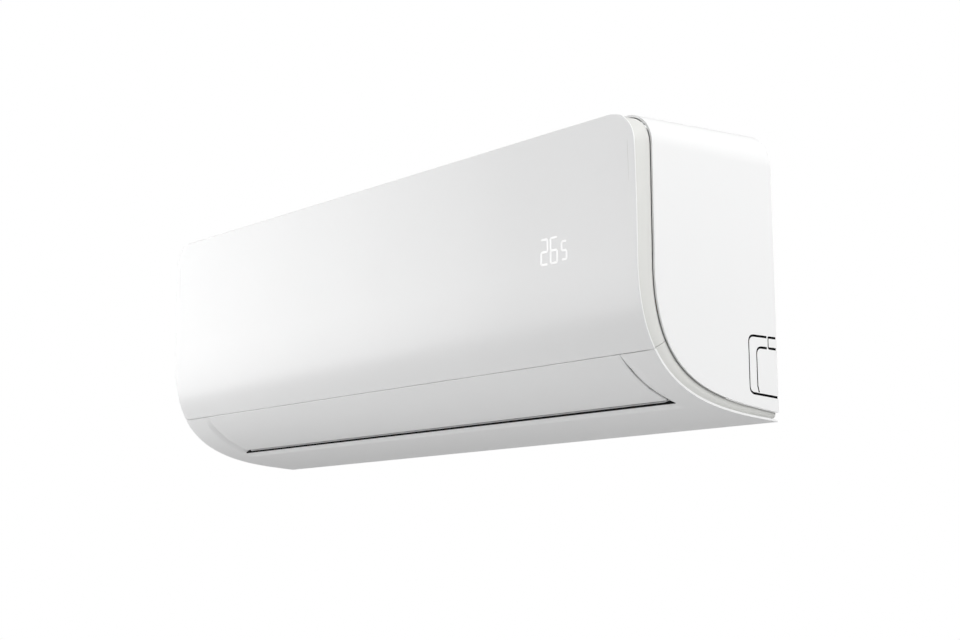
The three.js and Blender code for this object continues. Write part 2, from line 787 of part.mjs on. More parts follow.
// ---- Chassis: back wall, scroll, troughs and motor saddle ----

// The scroll winds outwards round the fan from above its back to the underside's lip.
function scrollLine() {
  const end = lip().add(point(fasciaSheet, 1)).sub(fanAxis);
  const endAngle = Math.atan2(end.y, end.x);
  const near = fanRadius + scrollGap;
  const start = Math.asin((rearCoilFootHeight - scrollDrop - fanHeight) / near);
  const steps = 20;
  return Array.from({ length: steps + 1 }, (_, i) => {
    const angle = start + ((endAngle - start) * i) / steps;
    const share = Math.max(0, angle / endAngle);
    const radius = near + (end.length() - near) * share ** 4;
    return fanAxis.clone().add(point(radius * Math.cos(angle), radius * Math.sin(angle)));
  });
}

const scroll = scrollLine();

// The outline of the space inside the coil, the scroll and the pan, which the end walls close.
function airSpace() {
  return [
    point(coilBack + 1, panRim + 2),
    point(coilBack + 1, coilKnee - 4),
    point(-coilCrownDepth + 12, coilCrownHeight - 12),
    point(-rearCoilTopDepth - 4, rearCoilTopHeight - 12),
    point(-rearCoilFootDepth - 14, rearCoilFootHeight - 4),
    ...scroll.map((p, i) => p.clone().addScaledVector(normals(scroll)[i], 1)),
    point(coilBack - 6, seamHeight + 11),
    point(coilBack + 4, coilBottom - 2),
  ];
}

function chassis() {
  const inner = halfWidth - casingWall - fitGap - 2;
  const backTop = roofHeight(-backDepth) - 8;
  const back = common(
    alongY(hoodOutline(inner, backTop, casingCornerRadius, 0), -backDepth - ductWall, -backDepth),
    box(-inner, inner, -backDepth - ductWall, -backDepth, channelTop, backTop),
  );
  const duct = alongX(wallAlong(scroll, ductWall), ductLeft - ductWall, ductRight + ductWall);
  const troughFront = scroll[0].x - 3;
  const troughFloor = scroll[0].y - 2;
  const troughEnds = [ductLeft - ductWall, bayWall + ductWall];
  const trough = join(
    box(...troughEnds, troughFront, -backDepth - 1, troughFloor, troughFloor + ductWall),
    box(...troughEnds, troughFront, troughFront + ductWall, troughFloor, troughFloor + 9),
  );
  const shelf = box(
    -inner + 1,
    ductRight + ductWall + 1,
    scrollDepthAt(channelTop) + 1,
    -backDepth - 1,
    channelTop + 0.5,
    channelTop + 0.5 + ductWall,
  );
  const leftWall = cut(
    alongX(airSpace(), ductLeft - ductWall, ductLeft),
    barX(bearingRadius + fitGap, fanAxis, ductLeft - 10, ductLeft + 10, 24),
  );
  const partition = cut(
    alongX(airSpace(), bayWall, bayWall + ductWall),
    barX(fanHub + 4, fanAxis, bayWall - 5, bayWall + 10, 24),
    box(bayWall - 1, bayWall + 9, coilFront, -backDepth - ductWall, 0, partitionFoot()),
  );
  const lowEnd = scroll.filter((p) => p.y < channelTop + 12);
  const rightEnd = cut(
    alongX(
      [
        ...lowEnd.map((p) => p.clone().add(point(0.5, -0.5))),
        point(coilBack - 6, seamHeight + 11),
        point(coilBack + 6, coilBottom - 2),
      ],
      ductRight,
      ductRight + ductWall,
    ),
    barX(stepperRadius + fitGap, louverAxis, ductRight - 5, ductRight + 9, 20),
  );
  return join(back, duct, trough, shelf, leftWall, partition, rightEnd, ...saddles(), ...hangers());
}

// The height of the partition's lower edge, which the vanes pass under.
function partitionFoot() {
  return inFlow(4 - vaneNose, vaneHeight).y + partitionGap;
}

function scrollDepthAt(height) {
  return scroll.find((p) => p.x > fanAxis.x && p.y < height).x;
}

function saddles() {
  return [motorLeft + 6, motorLeft + motorLength - 10].map((x) =>
    cut(
      box(x, x + 4, fanAxis.x + 8, -backDepth - 1, fanHeight - motorRadius - 8, fanHeight + motorRadius + 8),
      barX(motorRadius + fitGap, fanAxis, x - 5, x + 10, 32),
    ),
  );
}

// Lugs on the chassis's back that hang on the mounting plate's hooks.
function hangers() {
  const foot = hookHeight() + hookSheet + fitGap;
  const half = hookWidth / 2 + 2;
  const ends = [-backDepth - 1, -plateSheet - 1.5];
  return hookPlaces().map((x) => box(x - half, x + half, ...ends, foot, foot + 4.6));
}

function hookPlaces() {
  const reach = plateWidth / 2 - hookReach;
  return [-reach, reach];
}

function hookHeight() {
  return plateMiddle + plateHeight / 2 - hookDrop;
}

// ---- Fan ----

function fanWheel() {
  const discs = Array.from({ length: fanDiscs }, (_, i) => {
    const x = fanLeft + ((fanRight - fanLeft - fanDiscSheet) * i) / (fanDiscs - 1);
    const disc = barX(fanRadius - 1, fanAxis, x, x + fanDiscSheet, 24);
    const isEnd = i === 0 || i === fanDiscs - 1;
    if (isEnd) return disc;
    return cut(disc, barX(fanRadius - fanBladeDepth - 2, fanAxis, x - 1, x + fanDiscSheet + 1, 16));
  });
  const blades = Array.from({ length: fanBlades }, (_, i) => {
    const turn = (2 * Math.PI * i) / fanBlades;
    const at = (inwards, lag) => {
      const spoke = point(fanRadius - inwards, 0).rotateAround(point(0, 0), turn + lag);
      return spoke.add(fanAxis);
    };
    const middle = fanBladeDepth / 2;
    const leading = [at(0, 0), at(middle, 0.1), at(fanBladeDepth, 0.13)];
    const trailing = [at(fanBladeDepth, 0.1), at(middle, 0.06), at(0, -0.04)];
    return alongX([...leading, ...trailing], fanLeft + 1, fanRight - 1);
  });
  const hub = barX(fanHub, fanAxis, fanRight - 14, fanRight + 4, 20);
  const bore = barX(shaftRadius + 0.3, fanAxis, fanLeft - 5, fanRight + 10, 16);
  return cut(join(...discs, ...blades, hub), bore);
}

function fanShaft() {
  const reach = ductLeft - ductWall - 6;
  return barX(shaftRadius, fanAxis, reach, motorLeft + 8, 16);
}

function bearing() {
  const sleeve = barX(bearingRadius, fanAxis, ductLeft - ductWall - 8, ductLeft + 2, 24);
  return cut(sleeve, barX(shaftRadius + 0.3, fanAxis, ductLeft - 20, ductLeft + 10, 16));
}

function fanMotor() {
  const can = barX(motorRadius, fanAxis, motorLeft, motorLeft + motorLength, 32);
  const boss = barX(motorBoss, fanAxis, motorLeft - 2, motorLeft + motorLength + 3, 20);
  return cut(join(can, boss), barX(shaftRadius + 0.3, fanAxis, motorLeft - 10, motorLeft + 9, 16));
}

function motorClamp() {
  const from = motorLeft + (motorLength - clampWidth) / 2;
  const ring = cut(
    barX(motorRadius + 3, fanAxis, from, from + clampWidth, 32),
    barX(motorRadius + fitGap, fanAxis, from - 5, from + clampWidth + 5, 32),
  );
  const ends = [from, from + clampWidth];
  const reach = motorRadius + 16;
  const half = box(...ends, fanAxis.x - reach, fanAxis.x, fanHeight - reach, fanHeight + reach);
  const front = common(ring, half);
  const foot = (z) => box(...ends, fanAxis.x - 3, fanAxis.x + 30, z, z + 3);
  return join(front, foot(fanHeight + motorRadius + 0.6), foot(fanHeight - motorRadius - 3.6));
}

// ---- Coil ----

const coilMiddle = (coilBack + coilFront) / 2;
const coilSections = {
  front: [point(coilMiddle, coilBottom), point(coilMiddle, coilKnee)],
  upper: [point(coilMiddle + 4, coilKnee + coilBend), point(-coilCrownDepth, coilCrownHeight)],
  rear: [point(-rearCoilTopDepth, rearCoilTopHeight), point(-rearCoilFootDepth, rearCoilFootHeight)],
};

function slab([from, to], x0, x1, extra = 0) {
  const along = to.clone().sub(from).normalize();
  const across = point(-along.y, along.x).multiplyScalar(coilThickness / 2);
  const start = from.clone().addScaledVector(along, -extra);
  const end = to.clone().addScaledVector(along, extra);
  const corners = [
    start.clone().add(across),
    start.clone().sub(across),
    end.clone().sub(across),
    end.clone().add(across),
  ];
  return alongX(corners, x0, x1);
}

// A half ring of copper tube that leads from one tube of a section to the next, at one end of the coil.
function returnBend(x, side, from, to) {
  const middle = from.clone().add(to).multiplyScalar(0.5);
  const arm = to.clone().sub(from).multiplyScalar(0.5);
  const rings = Array.from({ length: 6 }, (_, i) => {
    const angle = (Math.PI * i) / 5;
    const along = middle.clone().addScaledVector(arm, -Math.cos(angle));
    const centre = new THREE.Vector3(x + side * arm.length() * Math.sin(angle), along.x, along.y);
    const outwards = centre.clone().sub(new THREE.Vector3(x, middle.x, middle.y)).normalize();
    const across = new THREE.Vector3(0, arm.y, -arm.x).normalize();
    return Array.from({ length: 6 }, (_unused, j) => {
      const turn = (Math.PI * j) / 3;
      return centre
        .clone()
        .addScaledVector(outwards, tubeRadius * Math.cos(turn))
        .addScaledVector(across, tubeRadius * Math.sin(turn));
    });
  });
  return loft(rings);
}

function coilEnd(side) {
  const x = side > 0 ? coilRight + fitGap : coilLeft - fitGap - coilEndSheet;
  const face = side > 0 ? x + coilEndSheet - 0.2 : x + 0.2;
  const plates = Object.values(coilSections).map((section) => slab(section, x, x + coilEndSheet, 1.5));
  const links = [
    slab([coilSections.front[1], coilSections.upper[0]], x, x + coilEndSheet, 1),
    slab([coilSections.upper[1], coilSections.rear[0]], x, x + coilEndSheet, 1),
  ];
  const spans = side > 0 ? rightBends : leftBends;
  const bends = Object.values(coilSections).flatMap(([from, to]) => {
    const at = (share) => from.clone().lerp(to, share);
    return spans.map(([start, end]) => returnBend(face, side, at(start), at(end)));
  });
  return join(...plates, ...links, ...bends);
}

// ---- Pan ----

function drainPan() {
  const back = coilBack + panSlack + panWall;
  const body = [
    point(panFront, panRim),
    point(panFront, seamHeight + 9),
    point(panFront + 20, seamHeight + 15),
    point(back + 3, panRim - 8),
    point(back + 1, panRim),
  ];
  const right = bayWall - fitGap;
  const trough = box(ductLeft + 4, right - 2, panFront + panWall, back - panWall, panFloor, panRim + 5);
  const spoutAt = point((panFront + back) / 2, panFloor + hoseRadius - 3);
  const spout = barX(hoseRadius - 3, spoutAt, right - 3, right + 22, 16);
  const bore = barX(hoseRadius - 5, spoutAt, right - 10, right + 30, 16);
  const notch = box(ductLeft, ductLeft + 5, panFront + panWall, back - panWall, panFloor + 7, panRim + 5);
  return cut(join(cut(alongX(body, ductLeft + fitGap, right), trough, notch), spout), bore);
}

// ---- Filters ----

function filterSpans() {
  const right = coilRight + 6;
  return [
    [ductLeft + 2, filterSplit - filterPost / 2],
    [filterSplit + filterPost / 2, right],
  ];
}

function filterLine() {
  const path = new THREE.Path();
  path.moveTo(filterFront, filterFoot);
  path.lineTo(filterFront, filterShoulder);
  path.quadraticCurveTo(filterFront, filterShoulder + 18, filterFront + 10, filterShoulder + 32);
  path.lineTo(-coilCrownDepth - 26, filterCrown - 14);
  path.quadraticCurveTo(-coilCrownDepth - 16, filterCrown, -coilCrownDepth, filterCrown);
  path.lineTo(-filterRearDepth, filterCrown);
  return path.getPoints(5);
}

function filter([from, to]) {
  const line = filterLine().reverse();
  const frame = alongX(wallAlong(line, filterThickness), from, to);
  const length = new THREE.SplineCurve(line).getLength();
  const windows = [];
  const pitch = (to - from - filterRib) / filterColumns;
  const rows = splitLine(line, Math.round(length / filterWindow));
  rows.forEach((stretchOfLine) => {
    for (let column = 0; column < filterColumns; column += 1) {
      const x = from + filterRib + column * pitch;
      const depth = filterThickness - filterMesh;
      const proud = offset(stretchOfLine, -1);
      windows.push(alongX(wallAlong(proud, depth + 1), x, x + pitch - filterRib));
    }
  });
  const tabFoot = filterFoot + windowMargin + 1;
  const tabLeft = (from + to - filterTab) / 2;
  const tab = box(tabLeft, tabLeft + filterTab, filterFront - 6, filterFront + 1, tabFoot, tabFoot + 3);
  return cut(join(frame, tab), ...windows);
}

// Cuts a line of points into stretches of like length, with a rib's width left between them.
function splitLine(line, count) {
  const lengths = [0];
  line.slice(1).forEach((p, i) => lengths.push(lengths[i] + p.distanceTo(line[i])));
  const total = lengths.at(-1);
  const at = (distance) => {
    const i = Math.min(Math.max(lengths.findIndex((l) => l > distance), 1), line.length - 1);
    const share = (distance - lengths[i - 1]) / (lengths[i] - lengths[i - 1]);
    return line[i - 1].clone().lerp(line[i], share);
  };
  const pitch = (total - filterRib) / count;
  return Array.from({ length: count }, (_, i) => {
    const start = filterRib + i * pitch;
    const end = start + pitch - filterRib;
    const between = line.filter((_p, j) => lengths[j] > start + 1 && lengths[j] < end - 1);
    return [at(start), ...between, at(end)];
  });
}

// ---- Vanes: pinned to the scroll, turned together by a link bar ----

const vaneFoot = scroll.at(-5);
const flow = scroll.at(-3).clone().sub(scroll.at(-7)).normalize();
const rise = point(flow.y, -flow.x);

function inFlow(along, up) {
  return vaneFoot.clone().addScaledVector(flow, along).addScaledVector(rise, up + vaneLift);
}

function vane(x) {
  const outline = [
    inFlow(-vaneNose, 2),
    inFlow(-2, 0),
    inFlow(2, 0),
    inFlow(vaneTail, 1),
    inFlow(vaneTail - 4, vaneHeight),
    inFlow(4 - vaneNose, vaneHeight),
  ];
  return alongX(outline, x - vaneSheet / 2, x + vaneSheet / 2);
}

function vaneLink(from, to) {
  const low = vaneHeight + 0.6;
  const outline = [
    inFlow(vaneArm - linkBar / 2, low),
    inFlow(vaneArm + linkBar / 2, low),
    inFlow(vaneArm + linkBar / 2, low + 2),
    inFlow(vaneArm - linkBar / 2, low + 2),
  ];
  return alongX(outline, from - 6, to + 6);
}

function vanePlaces(bank) {
  const middle = (ductLeft + ductRight) / 2;
  return Array.from({ length: vanesPerBank }, (_, i) => {
    const step = bank === "left" ? i - vanesPerBank : i;
    return middle + (step + 0.5) * vaneSpacing;
  });
}

// ---- Electrics ----

const boxRight = boxLeft + boxWidth;

function controlBox() {
  const outer = box(boxLeft, boxRight, boxFront, -boxRearDepth, boxBottom, boxTop);
  const hollow = box(
    boxLeft + boxWall,
    boxRight - boxWall,
    boxFront - 5,
    -boxRearDepth - boxWall,
    boxBottom + boxWall,
    boxTop - boxWall,
  );
  const footBack = -backDepth - ductWall - fitGap;
  const foot = box(boxLeft + 20, boxRight - 20, -boxRearDepth - 1, footBack, boxTop - 30, boxTop - 26);
  return join(cut(outer, hollow), foot);
}

function boxCover() {
  const lid = box(boxLeft, boxRight, boxFront - boxWall - fitGap, boxFront - fitGap, boxBottom, boxTop);
  const vents = Array.from({ length: 6 }, (_, i) => {
    const z = boxBottom + 40 + i * 9;
    return box(boxLeft + 14, boxRight - 14, boxFront - 5, boxFront + 5, z, z + 4);
  });
  return cut(lid, ...vents);
}

const boardBack = -boxRearDepth - boxWall - 8;
const boardSheet = 1.6;

function board() {
  const ends = [boxLeft + boxWall + 2, boxRight - boxWall - 2];
  return box(...ends, boardBack - boardSheet, boardBack, boxBottom + boxWall + 4, boxTop - boxWall - 4);
}

function boardFront() {
  return boardBack - boardSheet - fitGap;
}

function terminalBlock() {
  const back = boardFront();
  const body = box(boxLeft + 12, boxLeft + 62, back - 20, back, boxBottom + 10, boxBottom + 30);
  const wells = Array.from({ length: 5 }, (_, i) =>
    barY(3.2, boxLeft + 18 + i * 9.5, boxBottom + 20, back - 30, back - 8, 12),
  );
  return cut(body, ...wells);
}

function capacitor() {
  const back = boardFront();
  return box(boxLeft + 14, boxLeft + 50, back - 26, back, boxTop - 46, boxTop - 18);
}

function transformer() {
  const back = boardFront();
  return box(boxLeft + 26, boxLeft + 58, back - 30, back, boxTop - 76, boxTop - 50);
}

function displayBoard() {
  const back = -(faceDepth - fasciaSheet) + 0.8 + displayThick;
  const low = displayHeight - displayTall / 2;
  const block = (inset, from, to) => {
    const half = displayWidth / 2 - inset;
    return box(displayX - half, displayX + half, from, to, low + inset, low + displayTall - inset);
  };
  const tray = join(block(0, back - displayThick, back), block(2, back - 2, back + 4));
  return cut(tray, block(4, back, back + 9));
}

function manualButton() {
  const cap = barY(buttonRadius, buttonX, buttonHeight, plateFront - 3, plateBack + 3);
  const skirt = barY(buttonRadius + 2, buttonX, buttonHeight, plateBack + 0.5, plateBack + 3);
  return join(cap, skirt);
}

function buttonSwitch() {
  const y = plateBack + 3 + 2;
  const body = box(buttonX - 7, buttonX + 7, y, y + 6, buttonHeight - 7, buttonHeight + 7);
  const ends = [buttonX - 4, buttonX + 4];
  const post = box(...ends, plateBack + fitGap, y + 3, buttonHeight - 14, buttonHeight - 10);
  const web = box(...ends, y + 1, y + 3, buttonHeight - 14, buttonHeight);
  return join(body, post, web);
}

// ---- Mounting plate ----

function roundedPlate(width, height, radius) {
  const shape = new THREE.Shape();
  const x = width / 2;
  const z = height / 2;
  shape.moveTo(x, radius - z);
  shape.absarc(x - radius, z - radius, radius, 0, Math.PI / 2, false);
  shape.absarc(radius - x, z - radius, radius, Math.PI / 2, Math.PI, false);
  shape.absarc(radius - x, radius - z, radius, Math.PI, 1.5 * Math.PI, false);
  shape.absarc(x - radius, radius - z, radius, 1.5 * Math.PI, 2 * Math.PI, false);
  return shape;
}

function mountingPlate() {
  const lift = new THREE.Matrix4().set(1, 0, 0, 0, 0, 0, -1, 0, 0, 1, 0, plateMiddle, 0, 0, 0, 1);
  const sheet = extruded(roundedPlate(plateWidth, plateHeight, 10), plateSheet, lift);
  const windows = [-1, 1].flatMap((side) =>
    plateWindows.map((place) => {
      const left = side * place - plateWindowWidth / 2;
      const foot = plateMiddle - plateWindowFoot;
      return box(left, left + plateWindowWidth, -10, 5, foot, plateMiddle + plateWindowHead);
    }),
  );
  const rise = plateHeight / 2 - plateHoleMargin;
  const holes = plateHoleColumns.flatMap((x) =>
    [plateMiddle - rise, plateMiddle + rise].map((z) => barY(plateHoleRadius, x, z, -10, 5, 8)),
  );
  const hooks = hookPlaces().map((x) => {
    const left = x - hookWidth / 2;
    const foot = hookHeight();
    return box(left, left + hookWidth, 1 - backDepth, -plateSheet / 2, foot, foot + hookSheet);
  });
  return join(cut(sheet, ...windows, ...holes), ...hooks);
}

// ---- Pipes and hose, from the coil's right end into the channel along the back ----

// A smooth line through a route's points, from one of its points to its last.
class Bend extends THREE.Curve {
  constructor(route, first = 0) {
    super();
    const points = route.map(([x, y, z]) => new THREE.Vector3(x, y, z));
    this.whole = new THREE.CatmullRomCurve3(points);
    this.start = first / (route.length - 1);
  }

  getPoint(share, target = new THREE.Vector3()) {
    return this.whole.getPoint(this.start + (1 - this.start) * share, target);
  }
}

function ringShape(outer, inner, sides) {
  const circle = (radius) =>
    Array.from({ length: sides }, (_, i) => {
      const turn = (2 * Math.PI * i) / sides;
      return point(radius * Math.cos(turn), radius * Math.sin(turn));
    });
  const shape = new THREE.Shape(circle(outer));
  if (inner) shape.holes.push(new THREE.Path(circle(inner).reverse()));
  return shape;
}

function bentTube(route, outer, inner, steps, first = 0) {
  const options = { steps, bevelEnabled: false, extrudePath: new Bend(route, first) };
  return solid(new THREE.ExtrudeGeometry(ringShape(outer, inner, 8), options));
}

// A tube that bends through all of its route but the end, and then runs straight along X.
function pipe(route, outer, inner, steps, first = 0, short = 0) {
  const bend = route.slice(0, -1);
  const [x, y, z] = bend.at(-1);
  const end = route.at(-1)[0] + short;
  const straight = barX(outer, point(y, z), end, x + 1, 8);
  const tube = join(bentTube(bend, outer, inner, steps, first), straight);
  return inner ? cut(tube, barX(inner, point(y, z), end - 5, x + 1.5, 8)) : tube;
}

const bay = halfWidth - casingWall - neckFrontInset - 11;
const gasChannel = [-34, 38];
const liquidChannel = [-22, 66];
const hoseChannel = [-58, 21];
const gasRoute = [
  [coilRight + 2.2, coilFront + 11, 115],
  [coilRight + 24, coilFront + 10, 116],
  [bay - 30, coilFront + 10, 122],
  [bay - 4, coilFront + 27, 114],
  [bay - 2, -92, 74],
  [bay - 10, -48, 44],
  [bay - channelTurn, ...gasChannel],
  [bay - channelLead, ...gasChannel],
  [gasEnd, ...gasChannel],
];
const liquidRoute = [
  [coilRight + 3, coilFront + 21, 209],
  [coilRight + 16, coilFront + 20, 204],
  [coilRight + 32, coilFront + 17, 182],
  [bay - 34, coilFront + 17, 172],
  [bay - 2, coilFront + 37, 160],
  [bay + 2, -74, 106],
  [bay - 6, -30, 74],
  [bay - channelTurn, ...liquidChannel],
  [bay - channelLead, ...liquidChannel],
  [liquidEnd, ...liquidChannel],
];
const hoseRoute = [
  [bayWall + 26, (panFront + coilBack + panSlack + panWall) / 2, panFloor + hoseRadius - 3],
  [bay - 18, coilFront + 13, 94],
  [bay - 2, coilFront + 31, 84],
  [bay, -112, 58],
  [bay - 4, -84, 32],
  [bay - 20, -62, 22],
  [bay - 50, ...hoseChannel],
];

// Foam round a pipe, from its fourth point to a hand's width short of its end.
function sleeve(route, outer, bore) {
  return pipe(route, outer, bore, sleeveSteps, 3, sleeveShort);
}

function flareNut(route, radius) {
  const [x, y, z] = route.at(-1);
  const nut = barX(radius * 1.75, point(y, z), x - 8, x + 12, 6);
  const cap = barX(radius * 1.45, point(y, z), x - 16, x - 7, 16);
  return cut(join(nut, cap), barX(radius + 0.3, point(y, z), x - 4, x + 20, 16));
}

// The drain hose: smooth round the bend, then ribbed along the channel, with its bore open all the way.
function drainHose() {
  const bore = hoseRadius - 1 - hoseWall;
  const bend = bentTube(hoseRoute, hoseRadius - 1, bore, 20);
  const start = hoseRoute.at(-1)[0] + 2;
  const profile = [point(bore, 0), point(hoseRadius - 1, 0)];
  for (let i = 0; i < hoseRibs; i += 1) {
    const foot = i * hosePitch;
    profile.push(point(hoseRadius - 1.2, foot + hosePitch / 4), point(hoseRadius, foot + hosePitch * 0.75));
  }
  const end = hoseRibs * hosePitch + 3;
  profile.push(point(hoseRadius - 1.2, end), point(bore, end));
  profile.push(profile[0].clone());
  const ribbed = new THREE.LatheGeometry(profile, 8).rotateZ(Math.PI / 2);
  return join(bend, solid(ribbed.translate(start, ...hoseChannel)));
}

// ---- Small fixings ----

const screwPlaces = [26 - frontReach, filterSplit, frontReach - 26];
const screwHeight = seamHeight + 20;

function frameScrew(x) {
  const head = barY(screwHead, x, screwHeight, plateFront - 2.4, plateFront - fitGap, 12);
  const reach = screwHead - 1;
  const ends = [plateFront - 4, plateFront - 1.4];
  const slot = box(x - reach, x + reach, ...ends, screwHeight - 0.5, screwHeight + 0.5);
  return cut(head, slot);
}

function airSensor() {
  const y = plateBack + fitGap;
  const x = coilRight + 20;
  const clip = box(x, x + sensorClip, y, y + 4, sensorFoot, sensorFoot + sensorClip);
  return join(clip, barY(2.5, x + sensorClip / 2, sensorFoot + sensorClip / 2, y + 2, y + 12, 10));
}

function pipeCover() {
  const ends = [coverLeft, coverLeft + coverWidth];
  const strap = box(...ends, -coverWidth - 6, -6, channelTop - 6, channelTop - 3.5);
  const leg = box(...ends, -8.5, -6, gasChannel[1] - 20, channelTop - 4);
  return join(strap, leg);
}

// ---- Assembly ----

const unit = new THREE.Group();
unit.add(
  part("mounting_plate", mountingPlate(), finishes.zinc),
  part("chassis", chassis(), finishes.matteWhite),
  part("casing", casing(), finishes.white),
  part("front_frame", frontFrame(), finishes.white),
  part("front_panel", frontPanel(), finishes.white),
  part("louver", louver(), finishes.white),
  part("louver_motor", louverMotor(), finishes.steel),
  part("fan_wheel", fanWheel(), finishes.black),
  part("fan_shaft", fanShaft(), finishes.steel),
  part("fan_bearing", bearing(), finishes.rubber),
  part("fan_motor", fanMotor(), finishes.zinc),
  part("motor_clamp", motorClamp(), finishes.matteWhite),
  part("coil_end_left", coilEnd(-1), finishes.copper),
  part("coil_end_right", coilEnd(1), finishes.copper),
  part("drain_pan", drainPan(), finishes.foam),
  part("drain_hose", drainHose(), finishes.matteWhite),
  part("gas_pipe", pipe(gasRoute, gasRadius, 0, pipeSteps), finishes.copper),
  part("gas_sleeve", sleeve(gasRoute, gasSleeve, gasRadius + sleeveGap), finishes.rubber),
  part("gas_nut", flareNut(gasRoute, gasRadius), finishes.brass),
  part("liquid_pipe", pipe(liquidRoute, liquidRadius, 0, pipeSteps), finishes.copper),
  part("liquid_sleeve", sleeve(liquidRoute, liquidSleeve, liquidRadius + sleeveGap), finishes.rubber),
  part("liquid_nut", flareNut(liquidRoute, liquidRadius), finishes.brass),
  part("pipe_cover", pipeCover(), finishes.matteWhite),
  part("control_box", controlBox(), finishes.matteWhite),
  part("control_box_cover", boxCover(), finishes.zinc),
  part("control_board", board(), finishes.board),
  part("terminal_block", terminalBlock(), finishes.matteWhite),
  part("capacitor", capacitor(), finishes.grey),
  part("transformer", transformer(), finishes.black),
  part("display_board", displayBoard(), finishes.matteWhite),
  part("manual_button", manualButton(), finishes.white),
  part("button_switch", buttonSwitch(), finishes.black),
  part("air_sensor", airSensor(), finishes.black),
);
for (const [name, section] of Object.entries(coilSections)) {
  unit.add(part(`coil_${name}`, slab(section, coilLeft, coilRight), finishes.fins));
}
filterSpans().forEach((span, i) => {
  unit.add(part(["filter_left", "filter_right"][i], filter(span), finishes.grey));
});
for (const bank of ["left", "right"]) {
  const places = vanePlaces(bank);
  places.forEach((x, i) => unit.add(part(`vane_${bank}_${i + 1}`, vane(x), finishes.matteWhite)));
  unit.add(part(`vane_link_${bank}`, vaneLink(places[0], places.at(-1)), finishes.matteWhite));
}
screwPlaces.forEach((x, i) => {
  unit.add(part(`frame_screw_${i + 1}`, frameScrew(x), finishes.steel));
});
unit.position.z = -plateMiddle;

const assembly = new THREE.Group();
assembly.add(unit);
export default assembly;
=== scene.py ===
"""A wall-hung indoor unit of a split air conditioner, dressed for rendering.

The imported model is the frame. Sizes are in millimetres, measured as in the part: X runs along the unit,
to the right as seen from the room, Y = 0 is the wall with the room towards -Y, and heights are counted
from the casing's lower rear edge. place() turns them into metres in the frame, whose origin is the middle
of the mounting plate's back.
"""

import json
import logging
import math
from dataclasses import dataclass, field
from enum import Enum
from typing import Any, Callable, Iterable, Sequence

import bmesh
import bpy
from mathutils import Matrix, Vector

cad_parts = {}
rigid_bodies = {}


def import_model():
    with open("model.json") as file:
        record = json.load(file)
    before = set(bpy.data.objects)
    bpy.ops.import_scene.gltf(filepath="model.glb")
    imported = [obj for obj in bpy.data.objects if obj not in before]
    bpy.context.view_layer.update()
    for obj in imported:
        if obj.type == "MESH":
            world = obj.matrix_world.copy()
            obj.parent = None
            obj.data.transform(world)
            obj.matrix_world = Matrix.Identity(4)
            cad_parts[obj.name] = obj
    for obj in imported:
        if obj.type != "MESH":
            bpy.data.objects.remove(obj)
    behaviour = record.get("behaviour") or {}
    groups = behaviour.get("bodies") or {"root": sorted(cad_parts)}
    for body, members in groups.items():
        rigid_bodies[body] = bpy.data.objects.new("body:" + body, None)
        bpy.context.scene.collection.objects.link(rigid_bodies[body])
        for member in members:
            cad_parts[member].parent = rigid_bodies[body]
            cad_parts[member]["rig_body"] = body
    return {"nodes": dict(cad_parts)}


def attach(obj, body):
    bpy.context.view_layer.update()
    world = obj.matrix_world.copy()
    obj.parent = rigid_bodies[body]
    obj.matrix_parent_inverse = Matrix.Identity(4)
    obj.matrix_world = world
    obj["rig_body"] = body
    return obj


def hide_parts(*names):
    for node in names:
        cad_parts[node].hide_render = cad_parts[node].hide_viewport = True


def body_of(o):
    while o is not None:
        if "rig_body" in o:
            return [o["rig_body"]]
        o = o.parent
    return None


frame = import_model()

log = logging.getLogger("unit")

MM = 0.001
ORIGIN_HEIGHT = 188.0  # of the frame's origin above the casing's lower rear edge
HEART = Vector((0.0, -100.0, 160.0))  # a point well inside the unit
HALVINGS = 40  # steps in which a place on a curve is found
LENGTH_STEPS = 200  # steps in which a curve is measured
WELD = 0.002  # distance within which corners are welded, in millimetres
FLAT = 0.4  # degrees below which two faces count as one

Point = tuple[float, float]
Knot = tuple[float, float, float]
Socket = bpy.types.NodeSocket
Tree = bpy.types.NodeTree


def place(x: float, y: float, z: float) -> Vector:
    """A point given in the unit's millimetres, in the frame's metres."""
    return Vector((x, y, z - ORIGIN_HEIGHT)) * MM


def spread(start: float, end: float, steps: int) -> list[float]:
    """Evenly spaced values from start to end, both included."""
    return [start + (end - start) * i / steps for i in range(steps + 1)]


def ease(share: float) -> float:
    """A share from 0 to 1 that leaves and arrives gently."""
    return share * share * (3.0 - 2.0 * share)


def bent(first: Vector, middle: Vector, last: Vector, share: float) -> Vector:
    """The point at a share of a bend from the first handle to the last, drawn towards the middle one."""
    return first * (1 - share) ** 2 + middle * 2 * share * (1 - share) + last * share**2


def link(name: str, data: bpy.types.ID) -> bpy.types.Object:
    """A new object in the scene, with a name and its data."""
    made = bpy.data.objects.new(name, data)
    bpy.context.scene.collection.objects.link(made)
    return made


# ---- Curves of the side view ----


